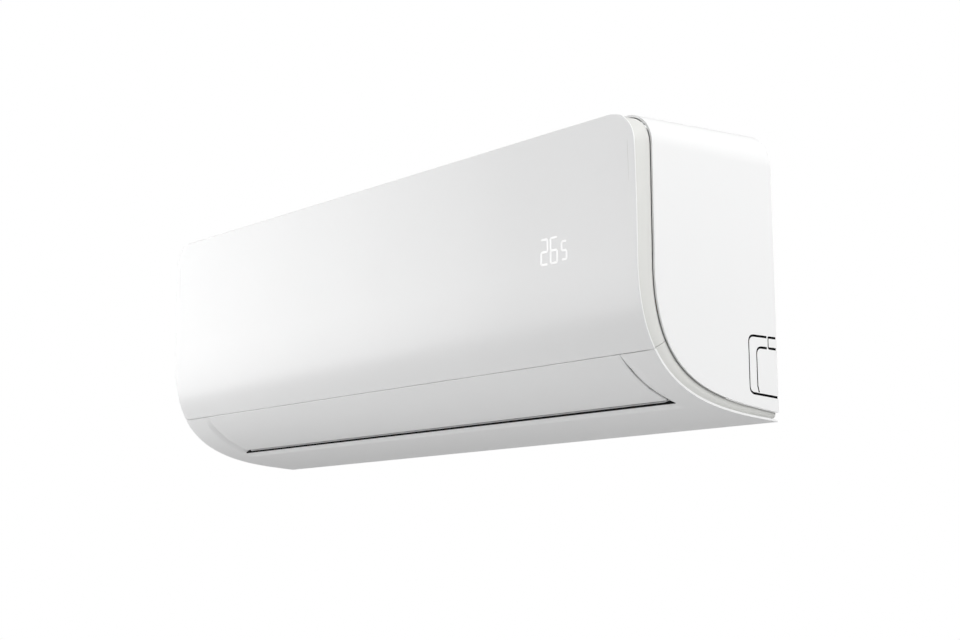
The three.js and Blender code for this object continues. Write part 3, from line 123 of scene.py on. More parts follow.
@dataclass(frozen=True)
class Curl:
    """A cubic curve in side view, as (depth, height) points.

    Args:
        handles: its four handles, from the top down and back to the wall.
    """

    handles: tuple[Point, Point, Point, Point]

    def at(self, share: float) -> Vector:
        """The point at a share of the curve's run."""
        a, b, c, d = (Vector(handle) for handle in self.handles)
        rest = 1.0 - share
        return a * rest**3 + b * 3 * rest**2 * share + c * 3 * rest * share**2 + d * share**3

    def inward(self, share: float) -> Vector:
        """The unit normal that points into the unit."""
        a, b, c, d = (Vector(handle) for handle in self.handles)
        rest = 1.0 - share
        run = (b - a) * rest**2 + (c - b) * 2 * rest * share + (d - c) * share**2
        return Vector((-run.y, run.x)).normalized()

    def sunk(self, share: float, depth: float) -> Vector:
        """The point at a share of the run, moved inwards by a depth."""
        return self.at(share) + self.inward(share) * depth

    def where(self, axis: int, value: float) -> float:
        """The share at which the depth (axis 0) rises past a value, or the height (axis 1) falls past it."""
        low, high = 0.0, 1.0
        for _ in range(HALVINGS):
            middle = (low + high) / 2
            passed = self.at(middle)[axis] > value if axis == 0 else self.at(middle)[axis] < value
            low, high = (low, middle) if passed else (middle, high)
        return low

    def length(self) -> float:
        """The curve's length."""
        points = [self.at(share) for share in spread(0.0, 1.0, LENGTH_STEPS)]
        return sum((b - a).length for a, b in zip(points, points[1:]))


@dataclass(frozen=True)
class UnitProfile:
    """The driving sizes that the outer pieces share."""

    width: float = 965.0
    fascia: Curl = Curl(((-208.3, 172.0), (-213.0, 43.0), (-149.0, 12.0), (-34.0, 4.2)))
    seam: Curl = Curl(((-183.3, 162.0), (-186.0, 54.0), (-133.0, 27.7), (-46.5, 17.1)))
    fascia_tail: Point = (-3.0, 2.0)
    seam_tail: Point = (-3.0, 12.3)
    fascia_top: float = 317.0
    brow_lean: float = 3.2
    sheet: float = 2.3
    fascia_corner: float = 35.0
    casing_corner: float = 38.0
    front_top: float = 320.7
    rear_top: float = 327.0
    wall_gap: float = 1.0
    neck_front_inset: float = 9.5
    neck_back_inset: float = 3.5
    seam_height: float = 65.0
    seam_gap: float = 0.6
    lip_depth: float = 117.0

    @property
    def half(self) -> float:
        """Half of the unit's width."""
        return self.width / 2

    @property
    def seam_share(self) -> float:
        """Where the panel ends, as a share of the fascia's curl."""
        return self.fascia.where(1, self.seam_height)

    @property
    def seam_half(self) -> float:
        """Half of the seam's gap, as a share of the fascia's curl."""
        return self.seam_gap / 2 / self.fascia.length()

    @property
    def lip_share(self) -> float:
        """Where the underside's front lip is, as a share of the fascia's curl."""
        return self.fascia.where(0, -self.lip_depth)

    @property
    def casing_front(self) -> float:
        """The depth of the casing's front edge along the upright stretch."""
        return self.seam.handles[0][0]

    def brow(self, share: float) -> Vector:
        """The leaning upright stretch of the fascia, from its top edge (0) to the curl (1)."""
        top = Vector((self.fascia.handles[0][0] - self.brow_lean, self.fascia_top))
        foot = Vector(self.fascia.handles[0])
        bend = Vector((foot.x, (top.y + foot.y) / 2))
        return bent(top, bend, foot, share)

    def roof(self, depth: float) -> float:
        """The casing's outer height at a depth."""
        rise = (self.rear_top - self.front_top) / (-self.wall_gap - self.casing_front)
        return self.front_top + (depth - self.casing_front) * rise


UNIT = UnitProfile()


# ---- Finishes ----


def new_group(name: str, inputs: dict[str, tuple[str, float]], outputs: dict[str, str]) -> Tree:
    """A shader node group with named sockets.

    Args:
        name: the group's name.
        inputs: socket names, each with its kind (Float or Vector) and its usual value.
        outputs: socket names, each with its kind.

    Returns:
        The group, which holds its two end nodes and nothing between them.
    """
    group = bpy.data.node_groups.new(name, "ShaderNodeTree")
    for label, (kind, value) in inputs.items():
        socket = group.interface.new_socket(label, in_out="INPUT", socket_type=f"NodeSocket{kind}")
        if kind == "Float":
            socket.default_value = value
    for label, kind in outputs.items():
        group.interface.new_socket(label, in_out="OUTPUT", socket_type=f"NodeSocket{kind}")
    group.nodes.new("NodeGroupInput").name = "in"
    group.nodes.new("NodeGroupOutput").name = "out"
    return group


def noise(tree: Tree, where: Socket, scale: float, detail: float) -> bpy.types.Node:
    """A noise texture of a scale, per metre, that reads a vector socket."""
    node = tree.nodes.new("ShaderNodeTexNoise")
    node.inputs["Scale"].default_value = scale
    node.inputs["Detail"].default_value = detail
    tree.links.new(where, node.inputs["Vector"])
    return node


def ranged(tree: Tree, value: Socket, lows: Point, highs: Point) -> Socket:
    """A value taken from the range lows to the range highs, held at both ends."""
    node = tree.nodes.new("ShaderNodeMapRange")
    node.inputs["From Min"].default_value, node.inputs["From Max"].default_value = lows
    node.inputs["To Min"].default_value, node.inputs["To Max"].default_value = highs
    tree.links.new(value, node.inputs["Value"])
    return node.outputs["Result"]


def maths(tree: Tree, kind: str, first: Socket, second: Socket | float) -> Socket:
    """A sum, product or other operation on a socket and a socket or number."""
    node = tree.nodes.new("ShaderNodeMath")
    node.operation = kind
    tree.links.new(first, node.inputs[0])
    if isinstance(second, float):
        node.inputs[1].default_value = second
    else:
        tree.links.new(second, node.inputs[1])
    return node.outputs[0]


def moulding_group() -> Tree:
    """Moulded plastic: a fine spark-eroded grain, and a slow drift in tone where the melt flowed."""
    group = new_group("moulding", {"Vector": ("Vector", 0.0)}, {"Grain": "Float", "Drift": "Float"})
    vector = group.nodes["in"].outputs["Vector"]
    fine = noise(group, vector, 2600.0, 2.0).outputs["Fac"]
    coarse = noise(group, vector, 700.0, 3.0).outputs["Fac"]
    grain = maths(group, "ADD", maths(group, "MULTIPLY", coarse, 0.6), maths(group, "MULTIPLY", fine, 0.4))
    drift = ranged(group, noise(group, vector, 5.0, 2.0).outputs["Fac"], (0.3, 0.7), (0.0, 1.0))
    group.links.new(grain, group.nodes["out"].inputs["Grain"])
    group.links.new(drift, group.nodes["out"].inputs["Drift"])
    return group


def wear_group() -> Tree:
    """A mask of the rubbed outer edges, broken up so that it isn't an even line."""
    group = new_group("edge_wear", {"Vector": ("Vector", 0.0), "Reach": ("Float", 0.54)}, {"Mask": "Float"})
    vector = group.nodes["in"].outputs["Vector"]
    points = group.nodes.new("ShaderNodeNewGeometry").outputs["Pointiness"]
    node = group.nodes.new("ShaderNodeMapRange")
    node.inputs["From Max"].default_value = 0.66
    group.links.new(group.nodes["in"].outputs["Reach"], node.inputs["From Min"])
    group.links.new(points, node.inputs["Value"])
    broken = ranged(group, noise(group, vector, 90.0, 4.0).outputs["Fac"], (0.35, 0.65), (0.35, 1.0))
    mask = maths(group, "MULTIPLY", node.outputs["Result"], broken)
    group.links.new(mask, group.nodes["out"].inputs["Mask"])
    return group


def dust_group() -> Tree:
    """A mask of the dust that settles on what faces up."""
    group = new_group("settled_dust", {"Vector": ("Vector", 0.0)}, {"Mask": "Float"})
    vector = group.nodes["in"].outputs["Vector"]
    normal = group.nodes.new("ShaderNodeNewGeometry").outputs["Normal"]
    parts = group.nodes.new("ShaderNodeSeparateXYZ")
    group.links.new(normal, parts.inputs[0])
    up = ranged(group, parts.outputs["Z"], (0.55, 1.0), (0.0, 1.0))
    patchy = ranged(group, noise(group, vector, 60.0, 5.0).outputs["Fac"], (0.35, 0.7), (0.2, 1.0))
    group.links.new(maths(group, "MULTIPLY", up, patchy), group.nodes["out"].inputs["Mask"])
    return group


def weave_group() -> Tree:
    """A mask of crossed threads, square to the unit, and the height of their round backs."""
    inputs = {"Vector": ("Vector", 0.0), "Pitch": ("Float", 0.0016), "Thread": ("Float", 0.42)}
    group = new_group("weave", inputs, {"Mask": "Float", "Height": "Float"})
    parts = group.nodes.new("ShaderNodeSeparateXYZ")
    group.links.new(group.nodes["in"].outputs["Vector"], parts.inputs[0])
    pitch = group.nodes["in"].outputs["Pitch"]
    diagonal = maths(group, "ADD", parts.outputs["Z"], maths(group, "MULTIPLY", parts.outputs["Y"], 0.7))
    heights = []
    for run in (parts.outputs["X"], diagonal):
        wrapped = maths(group, "FRACT", maths(group, "DIVIDE", run, pitch), 0.0)
        heights.append(maths(group, "ABSOLUTE", maths(group, "SUBTRACT", wrapped, 0.5), 0.0))
    nearest = maths(group, "MINIMUM", heights[0], heights[1])
    half = maths(group, "MULTIPLY", group.nodes["in"].outputs["Thread"], 0.5)
    group.links.new(maths(group, "LESS_THAN", nearest, half), group.nodes["out"].inputs["Mask"])
    group.links.new(maths(group, "SUBTRACT", half, nearest), group.nodes["out"].inputs["Height"])
    return group


class Effect(Enum):
    """The shader groups that several finishes share."""

    MOULDING = "moulding"
    WEAR = "edge_wear"
    DUST = "settled_dust"
    WEAVE = "weave"

    def tree(self) -> Tree:
        """The group, built the first time it is asked for."""
        makers: dict[Effect, Callable[[], Tree]] = {
            Effect.MOULDING: moulding_group,
            Effect.WEAR: wear_group,
            Effect.DUST: dust_group,
            Effect.WEAVE: weave_group,
        }
        return bpy.data.node_groups.get(self.value) or makers[self]()


Colour = tuple[float, float, float]
DUST: Colour = (0.42, 0.4, 0.37)
DARK_DUST: Colour = (0.36, 0.34, 0.31)
MIDDLE = (0.3, 0.7)  # the range in which nearly all of a noise lies


@dataclass
class Recipe:
    """A material while its nodes are being laid.

    Args:
        name: the material's name.
    """

    name: str
    material: bpy.types.Material = field(init=False)

    def __post_init__(self) -> None:
        """Makes the material and finds its shader."""
        self.material = bpy.data.materials.new(self.name)
        self.material.use_nodes = True

    @property
    def tree(self) -> Tree:
        """The material's node tree."""
        return self.material.node_tree

    @property
    def shader(self) -> bpy.types.Node:
        """The material's Principled shader."""
        return self.tree.nodes["Principled BSDF"]

    def where(self) -> Socket:
        """Object coordinates."""
        found = self.tree.nodes.get("place") or self.tree.nodes.new("ShaderNodeTexCoord")
        found.name = "place"
        return found.outputs["Object"]

    def effect(self, kind: Effect, output: str, **values: float) -> Socket:
        """An output of one shared group, with this material's own values on its inputs."""
        node = self.tree.nodes.new("ShaderNodeGroup")
        node.node_tree = kind.tree()
        self.tree.links.new(self.where(), node.inputs["Vector"])
        for label, value in values.items():
            node.inputs[label].default_value = value
        return node.outputs[output]

    def mixed(self, share: Socket, first: Colour | Socket, second: Colour) -> Socket:
        """A colour between two, by a share."""
        node = self.tree.nodes.new("ShaderNodeMix")
        node.data_type = "RGBA"
        self.tree.links.new(share, node.inputs["Factor"])
        colours = [socket for socket in node.inputs if socket.type == "RGBA"]
        if isinstance(first, tuple):
            colours[0].default_value = (*first, 1.0)
        else:
            self.tree.links.new(first, colours[0])
        colours[1].default_value = (*second, 1.0)
        return next(socket for socket in node.outputs if socket.type == "RGBA")

    def feed(self, socket: Socket, name: str) -> None:
        """Leads a socket into one of the shader's own."""
        self.tree.links.new(socket, self.shader.inputs[name])

    def bump(self, height: Socket, distance: float, strength: float) -> None:
        """Leads a height into the shader's normal."""
        node = self.tree.nodes.new("ShaderNodeBump")
        node.inputs["Distance"].default_value = distance
        node.inputs["Strength"].default_value = strength
        self.tree.links.new(height, node.inputs["Height"])
        self.feed(node.outputs["Normal"], "Normal")


@dataclass(frozen=True)
class Plastic:
    """A moulded plastic: its tone drifts slowly, its grain is fine, and its edges are rubbed smoother.

    Args:
        name: the finish's name.
        colour: its usual colour.
        rough: its usual roughness.
        drift: how far the tone drifts, as a share of the colour.
        grain: depth of the grain, in millimetres.
        worn: how far rubbed edges are lightened.
        dusty: how much settled dust shows on what faces up.
        coat: weight of the clear gloss.
        glow: strength of its own light.
        shine: strength of its reflection.
    """

    name: str
    colour: Colour
    rough: float = 0.4
    drift: float = 0.02
    grain: float = 0.01
    worn: float = 0.3
    dusty: float = 0.0
    coat: float = 0.0
    glow: float = 0.0
    shine: float = 0.5

    def build(self) -> bpy.types.Material:
        """Lays the nodes and returns the material."""
        recipe = Recipe(self.name)
        drift = recipe.effect(Effect.MOULDING, "Drift")
        darker = tuple(value * (1 - self.drift) for value in self.colour)
        lighter = tuple(min(1.0, value * 1.03 + 0.01) for value in self.colour)
        colour = recipe.mixed(drift, self.colour, darker)
        wear = recipe.effect(Effect.WEAR, "Mask", Reach=0.53)
        share = maths(recipe.tree, "MULTIPLY", wear, self.worn)
        colour = recipe.mixed(share, colour, lighter)
        if self.dusty:
            dust = maths(recipe.tree, "MULTIPLY", recipe.effect(Effect.DUST, "Mask"), self.dusty)
            colour = recipe.mixed(dust, colour, DUST)
        recipe.feed(colour, "Base Color")
        grain = recipe.effect(Effect.MOULDING, "Grain")
        recipe.feed(ranged(recipe.tree, grain, MIDDLE, (self.rough - 0.04, self.rough + 0.05)), "Roughness")
        recipe.bump(grain, self.grain * MM, 0.5)
        recipe.shader.inputs["Coat Weight"].default_value = self.coat
        recipe.shader.inputs["Coat Roughness"].default_value = 0.12
        recipe.shader.inputs["IOR"].default_value = 1.49
        recipe.shader.inputs["Specular IOR Level"].default_value = self.shine
        if self.glow:
            recipe.shader.inputs["Emission Color"].default_value = (*self.colour, 1.0)
            recipe.shader.inputs["Emission Strength"].default_value = self.glow
        return recipe.material


@dataclass(frozen=True)
class Metal:
    """A bare metal with the marks of how it was made.

    Args:
        name: the finish's name.
        colour: its usual colour.
        stain: the colour that it tarnishes to.
        rough: its usual roughness.
        drawn: the axis along which the surface is drawn out, or None for a crystalline coat.
    """

    name: str
    colour: Colour
    stain: Colour
    rough: float = 0.3
    drawn: int | None = 0

    def build(self) -> bpy.types.Material:
        """Lays the nodes and returns the material."""
        recipe = Recipe(self.name)
        tree = recipe.tree
        stretch = tree.nodes.new("ShaderNodeMapping")
        tree.links.new(recipe.where(), stretch.inputs["Vector"])
        if self.drawn is None:
            cells = tree.nodes.new("ShaderNodeTexVoronoi")
            cells.inputs["Scale"].default_value = 140.0
            tree.links.new(stretch.outputs["Vector"], cells.inputs["Vector"])
            marks = cells.outputs["Color"]
        else:
            scale = [1.0, 1.0, 1.0]
            scale[self.drawn] = 0.03
            stretch.inputs["Scale"].default_value = scale
            marks = noise(tree, stretch.outputs["Vector"], 1800.0, 3.0).outputs["Fac"]
        clouds = noise(tree, recipe.where(), 22.0, 4.0).outputs["Fac"]
        patches = ranged(tree, clouds, (0.4, 0.75), (0.0, 0.7))
        wear = recipe.effect(Effect.WEAR, "Mask", Reach=0.52)
        lighter = tuple(min(1.0, value * 1.15) for value in self.colour)
        colour = recipe.mixed(wear, recipe.mixed(patches, self.colour, self.stain), lighter)
        recipe.feed(colour, "Base Color")
        recipe.feed(ranged(tree, marks, (0.2, 0.8), (self.rough - 0.07, self.rough + 0.1)), "Roughness")
        recipe.bump(marks, 0.02 * MM, 0.35)
        recipe.shader.inputs["Metallic"].default_value = 1.0
        return recipe.material


@dataclass(frozen=True)
class Net:
    """A fine woven net that air passes through.

    Args:
        name: the finish's name.
        colour: the thread's colour.
        pitch: distance from one thread to the next, in millimetres.
        thread: width of a thread, as a share of the pitch.
    """

    name: str
    colour: Colour
    pitch: float = 1.6
    thread: float = 0.42

    def build(self) -> bpy.types.Material:
        """Lays the nodes and returns the material."""
        recipe = Recipe(self.name)
        mask = recipe.effect(Effect.WEAVE, "Mask", Pitch=self.pitch * MM, Thread=self.thread)
        recipe.feed(mask, "Alpha")
        dust = maths(recipe.tree, "MULTIPLY", recipe.effect(Effect.DUST, "Mask"), 0.6)
        recipe.feed(recipe.mixed(dust, self.colour, DARK_DUST), "Base Color")
        grain = recipe.effect(Effect.MOULDING, "Grain")
        recipe.feed(ranged(recipe.tree, grain, MIDDLE, (0.5, 0.65)), "Roughness")
        height = recipe.effect(Effect.WEAVE, "Height", Pitch=self.pitch * MM, Thread=self.thread)
        recipe.bump(height, 0.2 * MM, 0.6)
        return recipe.material


@dataclass(frozen=True)
class Foam:
    """A closed-cell foam with a skin of small cells and soft dents.

    Args:
        name: the finish's name.
        colour: its usual colour.
        shade: the darker colour painted in its dents, as painted shade.
    """

    name: str
    colour: Colour
    shade: Colour

    def build(self) -> bpy.types.Material:
        """Lays the nodes and returns the material."""
        recipe = Recipe(self.name)
        tree = recipe.tree
        cells = tree.nodes.new("ShaderNodeTexVoronoi")
        cells.inputs["Scale"].default_value = 700.0
        tree.links.new(recipe.where(), cells.inputs["Vector"])
        dents = noise(tree, recipe.where(), 80.0, 3.0).outputs["Fac"]
        # darker where the bumped dents lie: painted shade in the dents
        shaded = ranged(tree, dents, (0.35, 0.65), (1.0, 0.0))
        recipe.feed(recipe.mixed(shaded, self.colour, self.shade), "Base Color")
        recipe.feed(ranged(tree, cells.outputs["Distance"], (0.0, 0.6), (0.95, 0.75)), "Roughness")
        height = maths(tree, "ADD", maths(tree, "MULTIPLY", dents, 3.0), cells.outputs["Distance"])
        recipe.bump(height, 0.25 * MM, 0.7)
        return recipe.material


class Finish(Enum):
    """The unit's finishes, each with the record's slot and its make-up."""

    SHELL = (
        "white_shell",
        Plastic("satin_white_shell", (0.87, 0.872, 0.872), 0.34, 0.012, 0.006, coat=0.12),
    )
    # a darker copy of the white shell: painted shade on the recessed band
    NECK = ("white_shell", Plastic("neck_painted_shade", (0.69, 0.692, 0.67), 0.5, 0.02, 0.012))
    DIGIT = ("white_shell", Plastic("lit_digit", (1.0, 1.0, 1.0), 0.5, 0.0, 0.002, glow=0.35))
    INNER = ("inner_white", Plastic("inner_moulding", (0.74, 0.75, 0.74), 0.52, 0.03, 0.02, dusty=0.25))
    VANE = ("vane", Plastic("vane_grey", (0.66, 0.67, 0.66), 0.5, 0.03, 0.02))
    HOSE = ("hose", Plastic("hose_white", (0.68, 0.69, 0.67), 0.42, 0.04, 0.01))
    # near-black painted shade: the inside of the outlet, the plates behind the knock-outs and the walls of
    # cut slits and recesses
    DUCT = ("relay_grey", Plastic("painted_shade_black", (0.008, 0.008, 0.009), 0.7, 0.05, 0.02, shine=0.05))
    FRAME = ("filter_grey", Plastic("filter_grey", (0.11, 0.12, 0.13), 0.5, 0.05, 0.02, worn=0.6, dusty=0.3))
    NET = ("filter_grey", Net("filter_net", (0.07, 0.075, 0.08), 1.6, 0.42))
    # a near-black slab between the coil's fins: painted shade
    CORE = ("fin_aluminium", Plastic("coil_fin_shade", (0.05, 0.055, 0.06), 0.7, 0.1, 0.05))
    WHEEL = (
        "fan_black",
        Plastic("wheel_black", (0.018, 0.019, 0.021), 0.48, 0.05, 0.01, worn=0.8, dusty=0.35),
    )
    RELAY = ("relay_grey", Plastic("relay_grey", (0.09, 0.09, 0.095), 0.5, 0.05, 0.01))
    BOARD = ("board", Plastic("board_green", (0.015, 0.09, 0.035), 0.35, 0.1, 0.01, coat=0.3))
    SEAL = ("rubber", Plastic("black_rubber", (0.012, 0.012, 0.013), 0.7, 0.1, 0.03))
    FOAM = ("foam", Foam("white_foam", (0.72, 0.72, 0.7), (0.6, 0.6, 0.57)))
    ZINC = ("zinc", Metal("zinc_sheet", (0.58, 0.6, 0.62), (0.42, 0.44, 0.46), 0.36, None))
    STEEL = ("steel", Metal("plain_steel", (0.5, 0.5, 0.52), (0.33, 0.33, 0.34), 0.3, 0))
    FINS = ("fin_aluminium", Metal("fin_aluminium", (0.75, 0.8, 0.84), (0.6, 0.66, 0.7), 0.32, 2))
    COPPER = ("copper", Metal("drawn_copper", (0.78, 0.42, 0.27), (0.42, 0.2, 0.13), 0.26, 0))
    BRASS = ("brass", Metal("turned_brass", (0.76, 0.58, 0.26), (0.5, 0.36, 0.16), 0.24, 0))

    @property
    def slot(self) -> str:
        """The record's material slot."""
        return self.value[0]

    def material(self) -> bpy.types.Material:
        """The finish's material, built the first time it is asked for."""
        make = self.value[1]
        return bpy.data.materials.get(make.name) or make.build()


# ---- Shaping ----


class Form:
    """A mesh that bmesh operators shape, in metres and in the unit's frame."""

    def __init__(self) -> None:
        """Starts empty."""
        self.mesh = bmesh.new()

    def chain(self, points: Sequence[Vector], closed: bool = False) -> list[bmesh.types.BMVert]:
        """Vertices at points, joined one to the next by edges.

        Args:
            points: where they go, in order.
            closed: whether the last is joined to the first.

        Returns:
            The vertices in order.
        """
        made = [self.mesh.verts.new(point) for point in points]
        following = made[1:] + made[:1] if closed else made[1:]
        for first, second in zip(made, following):
            self.mesh.edges.new((first, second))
        return made

    def sweep(self, chains: Sequence[Sequence[Vector]], closed: bool = False) -> None:
        """A surface drawn out from the first chain of points through the others.

        Args:
            chains: rows of points, each as long as the first.
            closed: whether each row is a ring.
        """
        row = self.chain(chains[0], closed)
        pairs = list(zip(row, row[1:] + row[:1] if closed else row[1:]))
        edges = [self.mesh.edges.get(pair) for pair in pairs]
        for points in chains[1:]:
            made = bmesh.ops.extrude_edge_only(self.mesh, edges=edges)["geom"]
            fresh = {item for item in made if isinstance(item, bmesh.types.BMVert)}
            row = [
                next(edge.other_vert(vert) for edge in vert.link_edges if edge.other_vert(vert) in fresh)
                for vert in row
            ]
            for vert, point in zip(row, points):
                vert.co = point
            pairs = list(zip(row, row[1:] + row[:1] if closed else row[1:]))
            edges = [self.mesh.edges.get(pair) for pair in pairs]

    def block(self, low: Knot, high: Knot) -> None:
        """A box between two corners, given in the unit's millimetres."""
        first, last = place(*low), place(*high)
        middle = Matrix.Translation((first + last) / 2) @ Matrix.Diagonal((*(last - first), 1.0))
        bmesh.ops.create_cube(self.mesh, size=1.0, matrix=middle)

    def prism(self, outline: Sequence[Vector], along: Vector) -> None:
        """A flat outline drawn out along a vector."""
        face = self.mesh.faces.new(self.chain(outline, closed=True))
        made = bmesh.ops.extrude_face_region(self.mesh, geom=[face])["geom"]
        fresh = [item for item in made if isinstance(item, bmesh.types.BMVert)]
        bmesh.ops.translate(self.mesh, verts=fresh, vec=along)

    def extrusion(self, outline: Sequence[Vector | Point], x: float, length: float) -> None:
        """An outline in side view, drawn out along the unit from x over a length, in millimetres."""
        self.prism([place(x, *point) for point in outline], Vector((length * MM, 0.0, 0.0)))

    def bar(self, start: Vector, end: Vector, radius: float, sides: int) -> None:
        """A round bar between two points, with a radius in millimetres."""
        run = end - start
        turn = run.to_track_quat("Z", "Y").to_matrix().to_4x4()
        bmesh.ops.create_cone(
            self.mesh,
            cap_ends=True,
            segments=sides,
            radius1=radius * MM,
            radius2=radius * MM,
            depth=run.length,
            matrix=Matrix.Translation((start + end) / 2) @ turn,
        )

    def lathe(self, profile: Sequence[Vector], centre: Vector, axis: Vector, steps: int) -> None:
        """A profile spun a full turn about an axis."""
        row = self.chain(profile)
        edges = [self.mesh.edges.get(pair) for pair in zip(row, row[1:])]
        bmesh.ops.spin(
            self.mesh,
            geom=row + edges,
            cent=centre,
            axis=axis,
            angle=math.tau,
            steps=steps,
            use_merge=True,
            use_duplicate=False,
        )

    def tube(self, path: Sequence[Vector], radii: Sequence[float], sides: int) -> None:
        """A solid tube along a path, with a radius at each of its points, closed at both ends.

        Args:
            path: its points, in the unit's millimetres.
            radii: as many radii, in millimetres.
            sides: how many sides it has.
        """
        route = [place(*point) for point in path]
        side = Vector((0.0, 0.0, 1.0))
        rings = []
        for i, point in enumerate(route):
            run = (route[min(i + 1, len(route) - 1)] - route[max(i - 1, 0)]).normalized()
            side = (side - run * side.dot(run)).normalized()
            other = run.cross(side)
            turns = [math.tau * k / sides for k in range(sides)]
            rings.append([point + (side * math.cos(a) + other * math.sin(a)) * radii[i] * MM for a in turns])
        self.sweep(rings, closed=True)
        self.close()
        self.merge()

    def close(self) -> None:
        """Fills every open rim."""
        rims = [edge for edge in self.mesh.edges if edge.is_boundary]
        bmesh.ops.holes_fill(self.mesh, edges=rims, sides=0)

    def merge(self) -> None:
        """Welds vertices that lie together and turns all faces outwards."""
        bmesh.ops.remove_doubles(self.mesh, verts=self.mesh.verts, dist=WELD * MM)
        bmesh.ops.recalc_face_normals(self.mesh, faces=self.mesh.faces)

    def face_away(self, heart: Vector) -> None:
        """Turns an open skin's faces away from a point inside the unit."""
        bmesh.ops.recalc_face_normals(self.mesh, faces=self.mesh.faces)
        self.mesh.normal_update()
        outward = sum(
            face.normal.dot(face.calc_center_median() - heart) * face.calc_area() for face in self.mesh.faces
        )
        if outward < 0:
            bmesh.ops.reverse_faces(self.mesh, faces=self.mesh.faces)

    def piece(
        self,
        name: str,
        body: str,
        finish: Finish,
        wall: float = 0.0,
        edge: float = 0.0,
        rounds: int = 3,
        sharp: float = 38.0,
        stands_for: Iterable[str] = (),
    ) -> bpy.types.Object:
        """Ends the shaping and hands the mesh to the scene.

        Args:
            name: the piece's name.
            body: the moving body that it rides on.
            finish: its finish.
            wall: thickness that an open skin gets inwards, in millimetres.
            edge: rounding of its sharp edges, in millimetres.
            rounds: how many steps that rounding has.
            sharp: the least angle of an edge that is rounded, in degrees.
            stands_for: nodes of the frame that it takes the place of.

        Returns:
            The finished object.
        """
        data = bpy.data.meshes.new(name)
        self.mesh.to_mesh(data)
        self.mesh.free()
        data.shade_smooth()
        data.set_sharp_from_angle(angle=math.radians(sharp))
        data.materials.append(finish.material())
        made = link(name, data)
        if wall:
            shell = made.modifiers.new("wall", "SOLIDIFY")
            shell.thickness = wall * MM
            shell.offset = -1.0
            shell.use_even_offset = True
        if edge:
            rounding = made.modifiers.new("edge", "BEVEL")
            rounding.width = edge * MM
            rounding.segments = rounds
            rounding.limit_method = "ANGLE"
            rounding.angle_limit = math.radians(sharp)
            rounding.harden_normals = True
        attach(made, body)
        if stands_for:
            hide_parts(*stands_for)
        log.info("%s rides on %s, %d faces before its modifiers", name, body, len(data.polygons))
        return made


def skin(
    name: str, body: str, finish: Finish, rows: Sequence[Sequence[Vector]], wall: float, **rest: Any
) -> bpy.types.Object:
    """A sheet through rows of points, faced away from the unit's heart.

    Args:
        name: the piece's name.
        body: the moving body that it rides on.
        finish: its finish.
        rows: the rows of its outer face.
        wall: its thickness, in millimetres.
        rest: what else Form.piece is told.

    Returns:
        The finished object.
    """
    form = Form()
    form.sweep(rows)
    form.face_away(HEART * MM)
    return form.piece(name, body, finish, wall=wall, **rest)


def cut_by(made: bpy.types.Object, cutter: Form) -> None:
    """Cuts a form out of a piece, after its other modifiers, so that the cut's own edges stay crisp, and
    gives the cut's walls the near-black finish as painted shade.

    Args:
        made: the piece, which gets a plain mesh without modifiers.
        cutter: the form, which is used up.
    """
    cutter.merge()
    data = bpy.data.meshes.new("cutter")
    cutter.mesh.to_mesh(data)
    cutter.mesh.free()
    data.materials.append(Finish.DUCT.material())
    tool = link("cutter", data)
    cut = made.modifiers.new("cut", "BOOLEAN")
    cut.operation = "DIFFERENCE"
    cut.solver = "EXACT"
    cut.use_self = True
    # the cut's walls take the cutter's near-black finish: painted shade
    cut.material_mode = "TRANSFER"
    cut.object = tool
    bpy.context.view_layer.update()
    shaped = bpy.data.meshes.new_from_object(made.evaluated_get(bpy.context.evaluated_depsgraph_get()))
    made.modifiers.clear()
    made.data = shaped
    bpy.data.objects.remove(tool)


# ---- The opening panel ----


